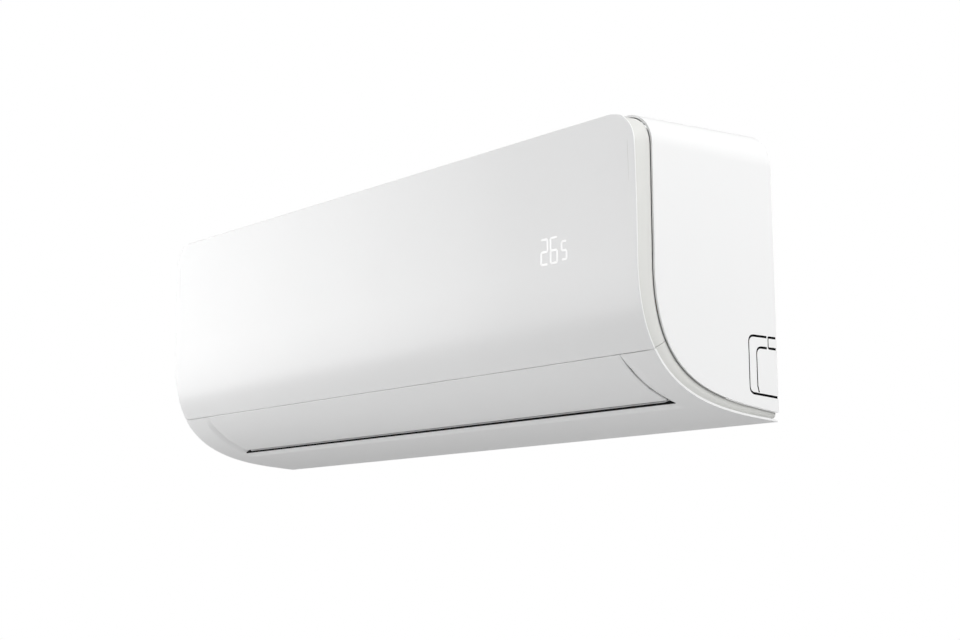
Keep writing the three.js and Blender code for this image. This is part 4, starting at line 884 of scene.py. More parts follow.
@dataclass
class Neck:
    """The slanted band between the fascia's edge and the casing, in a darker copy of the shell's white as
    painted shade.
    """

    crown: float = 2.2  # how far its middle swells out
    seam_rear: float = 76.1  # height of the seam's rear end
    root_share: float = 0.006  # how far its root runs ahead of the panel's edge, as a share of the curl
    wall: float = 1.6
    steps_across: int = 6
    steps_side: int = 20
    steps_corner: int = 14
    steps_below: int = 36
    # insets and depths of its end
    tail: tuple[Point, ...] = ((0.0, -3.2), (0.7, -2.2), (2.6, -1.6), (8.0, -1.6))

    def across(self, front: Vector, back: Vector, inward: Vector) -> list[Vector]:
        """One swelling cross-section, from its front edge to its back edge."""
        return [
            front.lerp(back, share) - inward * self.crown * MM * math.sin(math.pi * share)
            for share in spread(0.0, 1.0, self.steps_across)
        ]

    def lead(self) -> float:
        """How far up its rear edge leads its front edge, so that the seam crosses it at right angles."""
        return (UNIT.seam_share - UNIT.seam.where(1, self.seam_rear)) / math.sin(math.pi * UNIT.seam_share)

    def side(self, side: int, share: float) -> list[Vector]:
        """The cross-section at a share of the curl, on the left (-1) or the right (1)."""
        root = UNIT.fascia.sunk(share + self.root_share * math.sin(math.pi * share), UNIT.sheet / 2)
        edge = UNIT.seam.at(share - self.lead() * math.sin(math.pi * share))
        front = place(side * (UNIT.half - UNIT.neck_front_inset), root.x, root.y)
        back = place(side * (UNIT.half - UNIT.neck_back_inset), edge.x, edge.y)
        return self.across(front, back, Vector((-side, 0.0, 0.0)))

    def corner(self, side: int, angle: float) -> list[Vector]:
        """The cross-section round an upper corner, from the side (0) to the top (a quarter turn)."""
        x, z = math.cos(angle), math.sin(angle)
        front_radius = UNIT.fascia_corner - UNIT.neck_front_inset
        back_radius = UNIT.casing_corner - UNIT.neck_back_inset
        front = place(
            side * (UNIT.half - UNIT.neck_front_inset - front_radius * (1 - x)),
            UNIT.fascia.handles[0][0] - UNIT.brow_lean + UNIT.sheet / 2,
            UNIT.fascia_top - UNIT.neck_front_inset - front_radius * (1 - z),
        )
        back = place(
            side * (UNIT.half - UNIT.neck_back_inset - back_radius * (1 - x)),
            UNIT.casing_front,
            UNIT.front_top - UNIT.neck_back_inset - back_radius * (1 - z),
        )
        return self.across(front, back, Vector((-side * x, 0.0, -z)))

    def build(self) -> None:
        """Makes the band behind the panel and the two bands below the seam."""
        self.upper()
        self.lower(-1, "neck_left")
        self.lower(1, "neck_right")

    def upper(self) -> None:
        """The band behind the panel: up one side, over the top and down the other."""
        low = UNIT.seam_share - UNIT.seam_half
        shares = [low * i / self.steps_side for i in range(self.steps_side + 1)]
        turns = [math.pi / 2 * i / self.steps_corner for i in range(self.steps_corner + 1)]
        rows = [self.side(1, low * (1 - i / self.steps_side)) for i in range(self.steps_side + 1)]
        rows += [self.corner(1, turn) for turn in turns]
        rows += [self.corner(-1, turn) for turn in reversed(turns)]
        rows += [self.side(-1, share) for share in shares]
        skin("panel_neck", "panel", Finish.NECK, rows, self.wall, edge=0.3, rounds=2)

    def lower(self, side: int, name: str) -> None:
        """The band below the seam, on the left (-1) or the right (1), down to its chamfered rear end."""
        high = UNIT.seam_share + UNIT.seam_half
        steps = range(self.steps_below + 1)
        rows = [self.side(side, high + (1 - high) * i / self.steps_below) for i in steps]
        for inset, depth in self.tail:
            tail = place(side * (UNIT.half - UNIT.neck_front_inset - inset), depth, 2.1 + UNIT.sheet)
            end = place(side * (UNIT.half - UNIT.neck_back_inset - inset), depth, UNIT.seam_tail[1])
            rows.append(self.across(tail, end, Vector((-side, 0.0, 0.0))))
        skin(name, "unit", Finish.NECK, rows, self.wall, edge=0.3, rounds=2)


@dataclass
class FrontPanel:
    """The big curved panel that lifts for the filters, with its hinge arms."""

    rim: float = 1.15  # rounding of its outer edge
    hinge_depth: float = 190.0
    hinge_height: float = 300.0
    hinge_x: float = 436.0
    arm_width: float = 3.0
    arm_gap: float = 0.4
    arm_drop: float = 26.0  # how far below the pin the arm meets the panel
    pin_radius: float = 2.5

    def half_at(self, height: float) -> float:
        """Half of the width at a height, which the rounded upper corners narrow."""
        above = height - (UNIT.fascia_top - UNIT.fascia_corner)
        if above <= 0:
            return UNIT.half
        return UNIT.half - UNIT.fascia_corner + math.sqrt(max(UNIT.fascia_corner**2 - above**2, 0.0))

    def line(self) -> list[Vector]:
        """The panel's side view, from its top edge down to the seam."""
        corner = [1.0 - math.sin(math.pi / 2 * i / 16) for i in range(17)]
        heights = [UNIT.fascia_top - UNIT.fascia_corner * (1 - share) for share in reversed(corner)]
        drop = UNIT.fascia_top - UNIT.fascia.handles[0][1]
        shares = sorted({(UNIT.fascia_top - height) / drop for height in heights} | set(spread(0.3, 1.0, 8)))
        curl = spread(0.0, UNIT.seam_share - UNIT.seam_half, 48)[1:]
        return [UNIT.brow(share) for share in shares] + [UNIT.fascia.at(share) for share in curl]

    def build(self) -> None:
        """Makes the panel's sheet and its arms."""
        shares = spread(-1.0, 1.0, 12)
        rows = [[place(self.half_at(point.y) * share, *point) for share in shares] for point in self.line()]
        skin("fascia", "panel", Finish.SHELL, rows, UNIT.sheet, edge=self.rim, stands_for=["front_panel"])
        self.arms()

    def arms(self) -> None:
        """Makes the two hinge arms and their pins."""
        form = Form()
        face = -UNIT.fascia.handles[0][0] - UNIT.sheet
        reach = self.pin_radius + 1.0
        outline = [
            (-face, self.hinge_height - self.arm_drop),
            (-self.hinge_depth + reach, self.hinge_height - reach),
            (-self.hinge_depth + reach, self.hinge_height + reach),
            (-face, self.hinge_height + reach),
        ]
        for side in (-1, 1):
            inner = side * (self.hinge_x - self.arm_gap - self.arm_width)
            form.extrusion(outline, inner, side * self.arm_width)
            start = place(inner, -self.hinge_depth, self.hinge_height)
            end = place(side * (self.hinge_x + self.arm_width), -self.hinge_depth, self.hinge_height)
            form.bar(start, end, self.pin_radius, 24)
        form.merge()
        form.piece("panel_arms", "panel", Finish.SHELL, edge=0.3, rounds=2)


@dataclass
class Display:
    """The lit digits behind the panel, as thin strokes on its face."""

    stroke: float = 1.7
    gap: float = 1.0
    proud: float = 0.12
    sunk: float = 0.3  # how far a stroke reaches into the panel
    point: float = 0.2  # how far its ends are pointed, as a share of half its width
    # name, digit, left edge, foot, width and height
    digits: tuple[tuple[str, str, float, float, float, float], ...] = (
        ("digit_tens", "2", 331.0, 170.5, 12.5, 29.5),
        ("digit_ones", "6", 346.8, 170.5, 12.5, 29.5),
        ("digit_half", "5", 365.0, 172.0, 9.6, 21.5),
    )

    STROKES = {
        "2": ("top", "upper_right", "middle", "lower_left", "bottom"),
        "5": ("top", "upper_left", "middle", "lower_right", "bottom"),
        "6": ("top", "upper_left", "middle", "lower_left", "lower_right", "bottom"),
    }

    def segment(self, form: Form, start: Point, end: Point) -> None:
        """One stroke between two points of the panel's front view, laid on its curved face."""
        run = Vector(end) - Vector(start)
        along = run.normalized()
        across = Vector((-along.y, along.x)) * self.stroke / 2
        first = Vector(start) + along * self.gap / 2
        last = Vector(end) - along * self.gap / 2
        nib = along * self.stroke / 2
        tip = nib * self.point
        outline = [first - tip, first + nib + across, last - nib + across, last + tip]
        outline += [last - nib - across, first + nib - across]
        through = Vector((0.0, -(self.sunk + self.proud) * MM, 0.0))
        form.prism([self.in_face(point) for point in outline], through)

    def in_face(self, point: Vector) -> Vector:
        """A point of the front view, sunk a little into the panel's face."""
        if point.y > UNIT.fascia.handles[0][1]:
            drop = UNIT.fascia_top - UNIT.fascia.handles[0][1]
            depth = UNIT.brow((UNIT.fascia_top - point.y) / drop).x
        else:
            depth = UNIT.fascia.at(UNIT.fascia.where(1, point.y)).x
        return place(point.x, depth + self.sunk, point.y)

    def digit(self, name: str, value: str, left: float, bottom: float, width: float, height: float) -> None:
        """One digit, from its left edge, its foot and its size."""
        inset = self.stroke / 2
        x0, x1 = left + inset, left + width - inset
        z0, z2 = bottom + inset, bottom + height - inset
        z1 = (z0 + z2) / 2
        ends = {
            "top": ((x0, z2), (x1, z2)),
            "middle": ((x0, z1), (x1, z1)),
            "bottom": ((x0, z0), (x1, z0)),
            "upper_left": ((x0, z1), (x0, z2)),
            "upper_right": ((x1, z1), (x1, z2)),
            "lower_left": ((x0, z0), (x0, z1)),
            "lower_right": ((x1, z0), (x1, z1)),
        }
        form = Form()
        for stroke in self.STROKES[value]:
            self.segment(form, *ends[stroke])
        form.merge()
        form.piece(name, "panel", Finish.DIGIT, edge=0.08, rounds=1)

    def build(self) -> None:
        """Makes a plain two-digit temperature and its smaller half-degree digit."""
        for digit in self.digits:
            self.digit(*digit)


# ---- The lower frame ----


@dataclass
class LowerFrame:
    """The fascia below the seam: its cheeks, the underside, and the near-black wall behind its lip, painted
    shade in the outlet.
    """

    cheek_gap: float = 0.8  # between a cheek and the louver's end
    ledge: float = 2.0  # how far the louver's right end stands proud of the cheek beside it
    ledge_left: float = 3.6  # the same at its left end
    slope: float = 15.0  # width of the right cheek's slope down to the louver
    slope_left: float = 11.0  # the same on the left
    slope_power: float = 1.25
    flare: float = 28.0  # how much wider a cheek gets from the seam to the lip
    cheek_start: float = 5.0  # width of a cheek at the seam
    cheek_return: float = 4.0  # how far its edge turns in beside the louver
    lip_length: float = 12.0
    lip_beyond: float = 12.0  # how far the wall of painted shade runs past the louver's ends
    lip_start: Point = (0.9, 1.6)  # where it starts, behind and above the lip
    lip_rise: float = 0.93  # how much of its length it rises
    lip_wall: float = 2.2
    lip_faces: Knot = (0.0, -60.0, 40.0)  # a point on its inner side
    lip_roll: float = 3.6  # how far the lip's front rolls up
    crease: float = 14.0  # how far behind the lip the roll starts
    roll_run: float = 7.0  # how far from the mouth's end it is fully rolled
    fade_power: float = 1.1
    join: float = 0.01  # distance over which its strips are joined
    close_run: float = 10.0  # stretch at each end of the louver that has more rows
    steps: int = 40

    def louver_end(self, side: int) -> float:
        """The cheek's inner edge beside the louver's end."""
        return Louver.right + self.cheek_gap if side > 0 else Louver.left - self.cheek_gap

    def mouth(self, side: int, share: float) -> float:
        """Where the cheek's outer edge runs, at a share of the way from the seam to the lip."""
        return self.louver_end(side) + side * (self.cheek_start + self.flare * math.sqrt(share))

    def hollow(self, side: int, distance: float, along: float) -> float:
        """Depth of a cheek's slope, at a distance from the louver's end and a share of its length down."""
        ledge = self.ledge if side > 0 else self.ledge_left
        slope = self.slope if side > 0 else self.slope_left
        near = max(0.0, 1.0 - distance / min(slope, self.cheek_start + self.flare * math.sqrt(along)))
        return (Louver.sunk_by(along) + ledge * min(1.0, along * 4.0)) * near**self.slope_power

    def upper_shares(self) -> list[float]:
        """Shares of the curl from the seam to the lip."""
        return spread(UNIT.seam_share + UNIT.seam_half, UNIT.lip_share, self.steps)

    def front_roll(self, x: float) -> float:
        """How far the underside's front edge lies inside the curl, at a place along the unit."""
        side = 1 if x > 0 else -1
        beyond = (x - self.louver_end(side)) * side
        if beyond > 0:
            return self.hollow(side, beyond, 1.0)
        share = ease(min(1.0, -beyond / self.roll_run))
        return self.hollow(side, 0.0, 1.0) * (1 - share) + self.lip_roll * share

    def under(self, share: float, x: float) -> Vector:
        """The underside's line behind the lip, with its front rolled up."""
        point = UNIT.fascia.at(share)
        behind = (point - UNIT.fascia.at(UNIT.lip_share)).length
        fade = max(0.0, 1 - behind / self.crease)
        return point + UNIT.fascia.inward(share) * self.front_roll(x) * fade**self.fade_power

    def build(self) -> None:
        """Makes the outer skin with its cheeks, and the lip."""
        self.skin()
        self.lip()

    def skin(self) -> None:
        """Makes the side strips beside the mouth and the underside, as one sheet."""
        form = Form()
        shares = self.upper_shares()
        near = UNIT.fascia.where(0, -(UNIT.lip_depth - self.crease - 1.0))
        under = spread(UNIT.lip_share, near, 12) + spread(near, 1.0, 14)[1:]
        for side in (-1, 1):
            rows = [self.cheek_row(side, share, i / self.steps) for i, share in enumerate(shares)]
            form.sweep(rows)
            strip = spread(side * UNIT.half, self.mouth(side, 1.0), 4)
            rows = [[place(x, *UNIT.fascia.at(share)) for x in strip] for share in under]
            form.sweep(rows + [[place(x, *UNIT.fascia_tail) for x in strip]])
        across = self.stations()
        rows = [[place(x, *self.under(share, x)) for x in across] for share in under]
        form.sweep(rows + [[place(x, *UNIT.fascia_tail) for x in across]])
        bmesh.ops.remove_doubles(form.mesh, verts=form.mesh.verts, dist=self.join * MM)
        form.face_away(HEART * MM)
        form.piece("underside", "unit", Finish.SHELL, wall=UNIT.sheet, edge=0.7, stands_for=["front_frame"])

    def stations(self) -> list[float]:
        """Places along the unit from one cheek's outer edge to the other's, close together at both ends."""
        left, right = self.louver_end(-1), self.louver_end(1)
        inner_left, inner_right = left + self.close_run, right - self.close_run
        ends = spread(self.mouth(-1, 1.0), left, 12) + spread(left, inner_left, 8)[1:]
        far = spread(inner_right, right, 8) + spread(right, self.mouth(1, 1.0), 12)[1:]
        return ends + spread(inner_left, inner_right, 16)[1:-1] + far

    def lip(self) -> None:
        """Makes the near-black wall that rises behind the lip, inside the outlet: painted shade that makes
        the slot look dark.
        """
        start = UNIT.fascia.at(UNIT.lip_share) + Vector(self.lip_start)
        rise = Vector((self.lip_length / 2, self.lip_length * math.sqrt(3) / 2))
        across = spread(Louver.left - self.lip_beyond, Louver.right + self.lip_beyond, 16)
        form = Form()
        shares = spread(0.0, self.lip_rise, 4)
        form.sweep([[place(x, *(start + rise * share)) for x in across] for share in shares])
        form.face_away(place(*self.lip_faces))
        form.piece("lip_wall", "unit", Finish.DUCT, wall=self.lip_wall, edge=0.5, rounds=2)

    def cheek_row(self, side: int, share: float, along: float) -> list[Vector]:
        """One line of the side strip and its cheek, from the unit's side to the louver's end and inwards."""
        outer, end = self.mouth(side, along), self.louver_end(side)
        point = UNIT.fascia.at(share)
        row = [place(x, *point) for x in spread(side * UNIT.half, outer, 4)]
        for x in spread(outer, end, 12)[1:]:
            row.append(place(x, *UNIT.fascia.sunk(share, self.hollow(side, abs(x - end), along))))
        inner = UNIT.fascia.sunk(share, self.hollow(side, 0.0, along) + self.cheek_return)
        return row + [place(end, *inner)]


@dataclass
class Louver:
    """The blade that closes the outlet, with its end lugs and pins."""

    left: float = -422.0
    right: float = 430.0
    sheet: float = 2.4
    deepest: float = 3.6  # how far its lower edge lies inside the fascia's curl
    lip_gap: float = 2.2
    lug: float = 3.0
    lug_upper: Point = (-8.5, 9.0)  # the lug's corners at the blade, from the blade's middle
    lug_lower: Point = (14.5, -7.5)
    lug_half: float = 4.0  # half its height at the pin
    end_gap: float = 2.0
    duct_wall: float = 2.5
    pin_depth: float = 140.0
    pin_height: float = 46.0
    pin_radius: float = 2.5
    steps: int = 40

    def line(self) -> list[Vector]:
        """The blade's outer line in side view, flush at the seam and sunk at its lower edge."""
        first = UNIT.seam_share + UNIT.seam_half
        last = UNIT.fascia.where(0, -(UNIT.lip_depth + self.lip_gap))
        shares = spread(first, last, self.steps)
        return [UNIT.fascia.sunk(share, self.sunk_by(i / self.steps)) for i, share in enumerate(shares)]

    @staticmethod
    def sunk_by(along: float) -> float:
        """How far the blade lies inside the fascia's curl, at a share of the way down."""
        return Louver.deepest * (1.0 - (1.0 - along) ** 2)

    def build(self) -> None:
        """Makes the blade and its lugs."""
        line = self.line()
        rows = [[place(x, *point) for x in spread(self.left, self.right, 12)] for point in line]
        skin("louver_blade", "louver", Finish.SHELL, rows, self.sheet, edge=0.7, stands_for=["louver"])
        lugs = Form()
        middle = line[self.steps // 2]
        pin_y, half = -self.pin_depth, self.lug_half
        outline = [
            middle + Vector(self.lug_upper),
            middle + Vector(self.lug_lower),
            (pin_y + half, self.pin_height - half),
            (pin_y + half - 1, self.pin_height + half),
            (pin_y - half, self.pin_height + half),
        ]
        for side, start in ((-1, self.left), (1, self.right)):
            lugs.extrusion(outline, start, -side * self.lug)
            pin = place(start - side * self.lug, pin_y, self.pin_height)
            tip = place(start + side * (self.end_gap + self.duct_wall), pin_y, self.pin_height)
            lugs.bar(pin, tip, self.pin_radius, 24)
        lugs.merge()
        lugs.piece("louver_lugs", "louver", Finish.SHELL, edge=0.3, rounds=2)


# ---- The casing ----


@dataclass
class Casing:
    """The shell round the sides and the top, with its air grille and its pipe knock-outs."""

    wall: float = 2.5
    rows: int = 7
    columns: int = 7
    bar: float = 5.0
    end_margin: float = 42.0
    front_margin: float = 16.0
    rear_margin: float = 14.0
    slit: float = 1.6
    knockout_depth: float = 46.0
    knockout_bottom: float = 27.0
    knockout_top: float = 94.0
    knockout_step: float = 12.0
    knockout_radius: float = 9.0
    tab: float = 14.0
    bridge: float = 3.0
    rear_land: float = 1.6
    inner_start: Point = (2.0, 2.2)  # where the inner slit begins, behind its front and above its foot
    inner_rise: float = 9.0  # how far above its foot it turns upright
    beyond: float = 3.0  # how far a slit's cutter reaches past both faces of the wall
    shade_plate_near: float = 478.2  # near-black plates that close the slits from inside: painted shade
    shade_plate_far: float = 479.4
    shade_plate_low: Point = (-50.0, 24.0)
    shade_plate_high: Point = (-1.4, 98.0)

    def edge_chains(self) -> tuple[list[Vector], list[Vector]]:
        """The casing's front edge and its rear edge, up the right side, over the top and down the left."""
        rear = -UNIT.wall_gap
        right: list[tuple[float, float, float, float]] = []
        shares = [1.0 - i / 48 for i in range(49)]
        heights = [(UNIT.seam_tail[0], UNIT.seam_tail[1])] + [tuple(UNIT.seam.at(share)) for share in shares]
        for depth, height in heights:
            right.append((UNIT.half, depth, height, height))
        shoulder = UNIT.front_top - UNIT.casing_corner
        for i in range(17):
            angle = math.pi / 2 * i / 16
            x = UNIT.half - UNIT.casing_corner * (1 - math.cos(angle))
            height = shoulder + UNIT.casing_corner * math.sin(angle)
            lift = (UNIT.rear_top - UNIT.front_top) * math.sin(angle)
            right.append((x, UNIT.casing_front, height, height + lift))
        front = [place(x, depth, height) for x, depth, height, _ in right]
        back = [place(x, rear, height) for x, _, _, height in right]
        mirror = Matrix.Diagonal((-1.0, 1.0, 1.0))
        front += [mirror @ point for point in reversed(front)]
        back += [mirror @ point for point in reversed(back)]
        return front, back

    def build(self) -> None:
        """Makes the shell, opens its grille, cuts the slits of its knock-outs and puts near-black plates
        behind them as painted shade.
        """
        front, back = self.edge_chains()
        form = Form()
        form.sweep([[a.lerp(b, share) for a, b in zip(front, back)] for share in spread(0.0, 1.0, 4)])
        self.open_grille(form)
        form.face_away(HEART * MM)
        made = form.piece(
            "shell", "unit", Finish.SHELL, wall=self.wall, edge=0.5, rounds=2, stands_for=["casing"]
        )
        # the slits' cut walls take the near-black finish: painted shade
        cutter = Form()
        for side in (-1, 1):
            for line in self.slit_lines():
                self.slit_form(cutter, line, side)
        cut_by(made, cutter)
        # plates of painted shade that make the slits look dark
        shade_plates = Form()
        for side in (-1, 1):
            near, far = sorted((side * self.shade_plate_near, side * self.shade_plate_far))
            shade_plates.block((near, *self.shade_plate_low), (far, *self.shade_plate_high))
        shade_plates.piece("knockout_shade_plates", "unit", Finish.DUCT, edge=0.3)

    def open_grille(self, form: Form) -> None:
        """Takes the slots out of the roof."""
        pitch_x = (UNIT.width - 2 * self.end_margin + self.bar) / self.columns
        front = UNIT.casing_front + self.front_margin
        pitch_y = (-UNIT.wall_gap - self.rear_margin - front + self.bar) / self.rows
        left = -UNIT.half + self.end_margin
        columns = [(left + i * pitch_x, left + (i + 1) * pitch_x - self.bar) for i in range(self.columns)]
        rows = [(front + i * pitch_y, front + (i + 1) * pitch_y - self.bar) for i in range(self.rows)]

        def roof() -> list:
            """The roof's faces with their edges and corners."""
            form.mesh.normal_update()
            flat = [face for face in form.mesh.faces if abs(face.normal.z) > 0.999]
            faces = [face for face in flat if face.calc_area() > 1e-9]
            edges = {edge for face in faces for edge in face.edges}
            return faces + list(edges) + list({vert for edge in edges for vert in edge.verts})

        for normal, cuts in ((Vector((1, 0, 0)), columns), (Vector((0, 1, 0)), rows)):
            for value in [value for pair in cuts for value in pair]:
                bmesh.ops.bisect_plane(form.mesh, geom=roof(), plane_co=normal * value * MM, plane_no=normal)
        slots = []
        for face in form.mesh.faces:
            middle = face.calc_center_median() / MM
            in_column = any(low < middle.x < high for low, high in columns)
            in_row = any(low < middle.y < high for low, high in rows)
            if in_column and in_row and middle.z + ORIGIN_HEIGHT > UNIT.front_top - 1:
                slots.append(face)
        bmesh.ops.delete(form.mesh, geom=slots, context="FACES")

    def slit_lines(self) -> list[list[Vector]]:
        """The slits in side view: both outlines, the tab's two ends and its front."""
        rear = UNIT.wall_gap + self.rear_land
        bridge = self.tab + self.bridge
        inner_top = self.knockout_top - self.knockout_step
        inner_reach = self.knockout_depth - self.knockout_step
        inner_bottom = self.knockout_bottom + self.slit + 1.0
        return [
            self.outline(self.knockout_depth, self.knockout_bottom, self.knockout_top, rear, bridge),
            self.outline(inner_reach, inner_bottom, inner_top, None, bridge),
            [Vector((-self.tab, self.knockout_top)), Vector((-rear, self.knockout_top))],
            [Vector((-self.tab, inner_top)), Vector((-rear, inner_top))],
            [Vector((-self.tab, self.knockout_top - 0.5)), Vector((-self.tab, inner_top - self.slit))],
        ]

    def outline(
        self, reach: float, bottom: float, top: float, start: float | None, end: float
    ) -> list[Vector]:
        """A slit's line round an outline.

        Args:
            reach: how far from the wall it turns.
            bottom: the height of its lower line.
            top: the height of its upper line.
            start: where its lower line begins, or None if it has no lower line.
            end: where its upper line ends.

        Returns:
            The line: forward along the bottom, round two corners and back along the top.
        """
        radius = self.knockout_radius
        lower = ((-(reach - radius), bottom + 2), (-reach, bottom + 2), (-reach, bottom + radius + 2))
        upper = ((-reach, top - radius), (-reach, top), (-(reach - radius), top))
        if start is None:
            back, up = self.inner_start
            line = [Vector((back - reach, bottom + up)), Vector((-reach, bottom + self.inner_rise))]
            corners = [upper]
        else:
            line = [Vector((-start, bottom))]
            corners = [lower, upper]
        for corner in corners:
            handles = [Vector(handle) for handle in corner]
            line += [bent(*handles, share) for share in spread(0.0, 1.0, 8)]
        return line + [Vector((-end, top))]

    def slit_form(self, form: Form, line: list[Vector], side: int) -> None:
        """Adds one slit's cutter, through the wall on one side."""
        runs = [(b - a).normalized() for a, b in zip(line, line[1:])]
        runs = [runs[0]] + [(a + b).normalized() for a, b in zip(runs, runs[1:])] + [runs[-1]]
        widths = [self.slit * 0.8 * (1.0 + abs(run.x)) for run in runs]
        inside = [point - Vector((-run.y, run.x)) * width for point, run, width in zip(line, runs, widths)]
        near, far = side * (UNIT.half - self.wall - self.beyond), side * (UNIT.half + self.beyond)
        rings = [
            [place(near, *a), place(far, *a), place(far, *b), place(near, *b)] for a, b in zip(line, inside)
        ]
        form.sweep(rings, closed=True)
        form.close()


# ---- Pieces finished from the frame's own meshes ----


def copied(node: str) -> Form:
    """A welded copy of a node's mesh, with the triangles of each flat face joined."""
    form = Form()
    form.mesh.from_mesh(frame["nodes"][node].data)
    bmesh.ops.remove_doubles(form.mesh, verts=form.mesh.verts, dist=WELD * MM)
    bmesh.ops.dissolve_limit(
        form.mesh, angle_limit=math.radians(FLAT), verts=form.mesh.verts, edges=form.mesh.edges
    )
    bmesh.ops.recalc_face_normals(form.mesh, faces=form.mesh.faces)
    return form


def refined(
    node: str, finish: Finish, edge: float, rounds: int = 2, sharp: float = 28.0
) -> bpy.types.Object:
    """A node's own shape, with its edges rounded and its curved faces smoothed.

    Args:
        node: the node.
        finish: the finish.
        edge: rounding of its edges, in millimetres.
        rounds: how many steps that rounding has.
        sharp: the least angle of an edge that is rounded, in degrees.

    Returns:
        The finished object.
    """
    body = body_of(frame["nodes"][node])[0]
    return copied(node).piece(
        f"{node}_finished", body, finish, edge=edge, rounds=rounds, sharp=sharp, stands_for=[node]
    )


# ---- Behind the panel ----


@dataclass
class InnerFront:
    """The moulding behind the panel, the side walls of the mouth and the rear wall."""

    foot: float = 66.0  # height where the plate takes over from the outer skin
    plate_half: float = 468.5
    wall: float = 2.5
    skin_gap: float = 6.6
    seam_margin: float = 0.02  # how far below the seam the mouth's walls start, as a share of the curl
    lip_inside: Point = (7.5, 9.4)  # the walls' foot, behind and above the lip
    lip_rise: Point = (-6.0, 22.0)
    back: tuple[Point, ...] = ((-158.0, 78.0), (-182.0, 70.0))
    rear_low: Knot = (-473.0, -5.0, 3.4)
    rear_high: Knot = (473.0, -3.2, 12.0)

    def build(self) -> None:
        """Makes the plate and the walls."""
        form = copied("front_frame")
        everything = list(form.mesh.verts) + list(form.mesh.edges) + list(form.mesh.faces)
        bmesh.ops.bisect_plane(
            form.mesh,
            geom=everything,
            plane_co=place(0.0, 0.0, self.foot),
            plane_no=Vector((0.0, 0.0, 1.0)),
            clear_inner=True,
        )
        outer = [vert for vert in form.mesh.verts if abs(vert.co.x) > self.plate_half * MM]
        bmesh.ops.delete(form.mesh, geom=outer, context="VERTS")
        form.close()
        form.piece("inner_front", "unit", Finish.INNER, edge=0.35, rounds=2, sharp=28.0)
        # the mouth's side walls in near-black: painted shade inside the outlet
        walls = Form()
        for side, start in ((1, Louver.right + Louver.end_gap), (-1, Louver.left - Louver.end_gap)):
            walls.extrusion(self.mouth_line(), start, side * self.wall)
        walls.merge()
        walls.piece("mouth_walls", "unit", Finish.DUCT, edge=0.3)
        rear = Form()
        rear.block(self.rear_low, self.rear_high)
        rear.piece("rear_wall", "unit", Finish.INNER, edge=0.3)

    def mouth_line(self) -> list[Vector]:
        """The outline of a side wall of the mouth."""
        shares = spread(UNIT.seam_share + self.seam_margin, UNIT.lip_share, 14)
        lip = UNIT.fascia.at(UNIT.lip_share) + Vector(self.lip_inside)
        line = [UNIT.fascia.sunk(share, self.skin_gap) for share in shares]
        return line + [lip, lip + Vector(self.lip_rise)] + [Vector(point) for point in self.back]


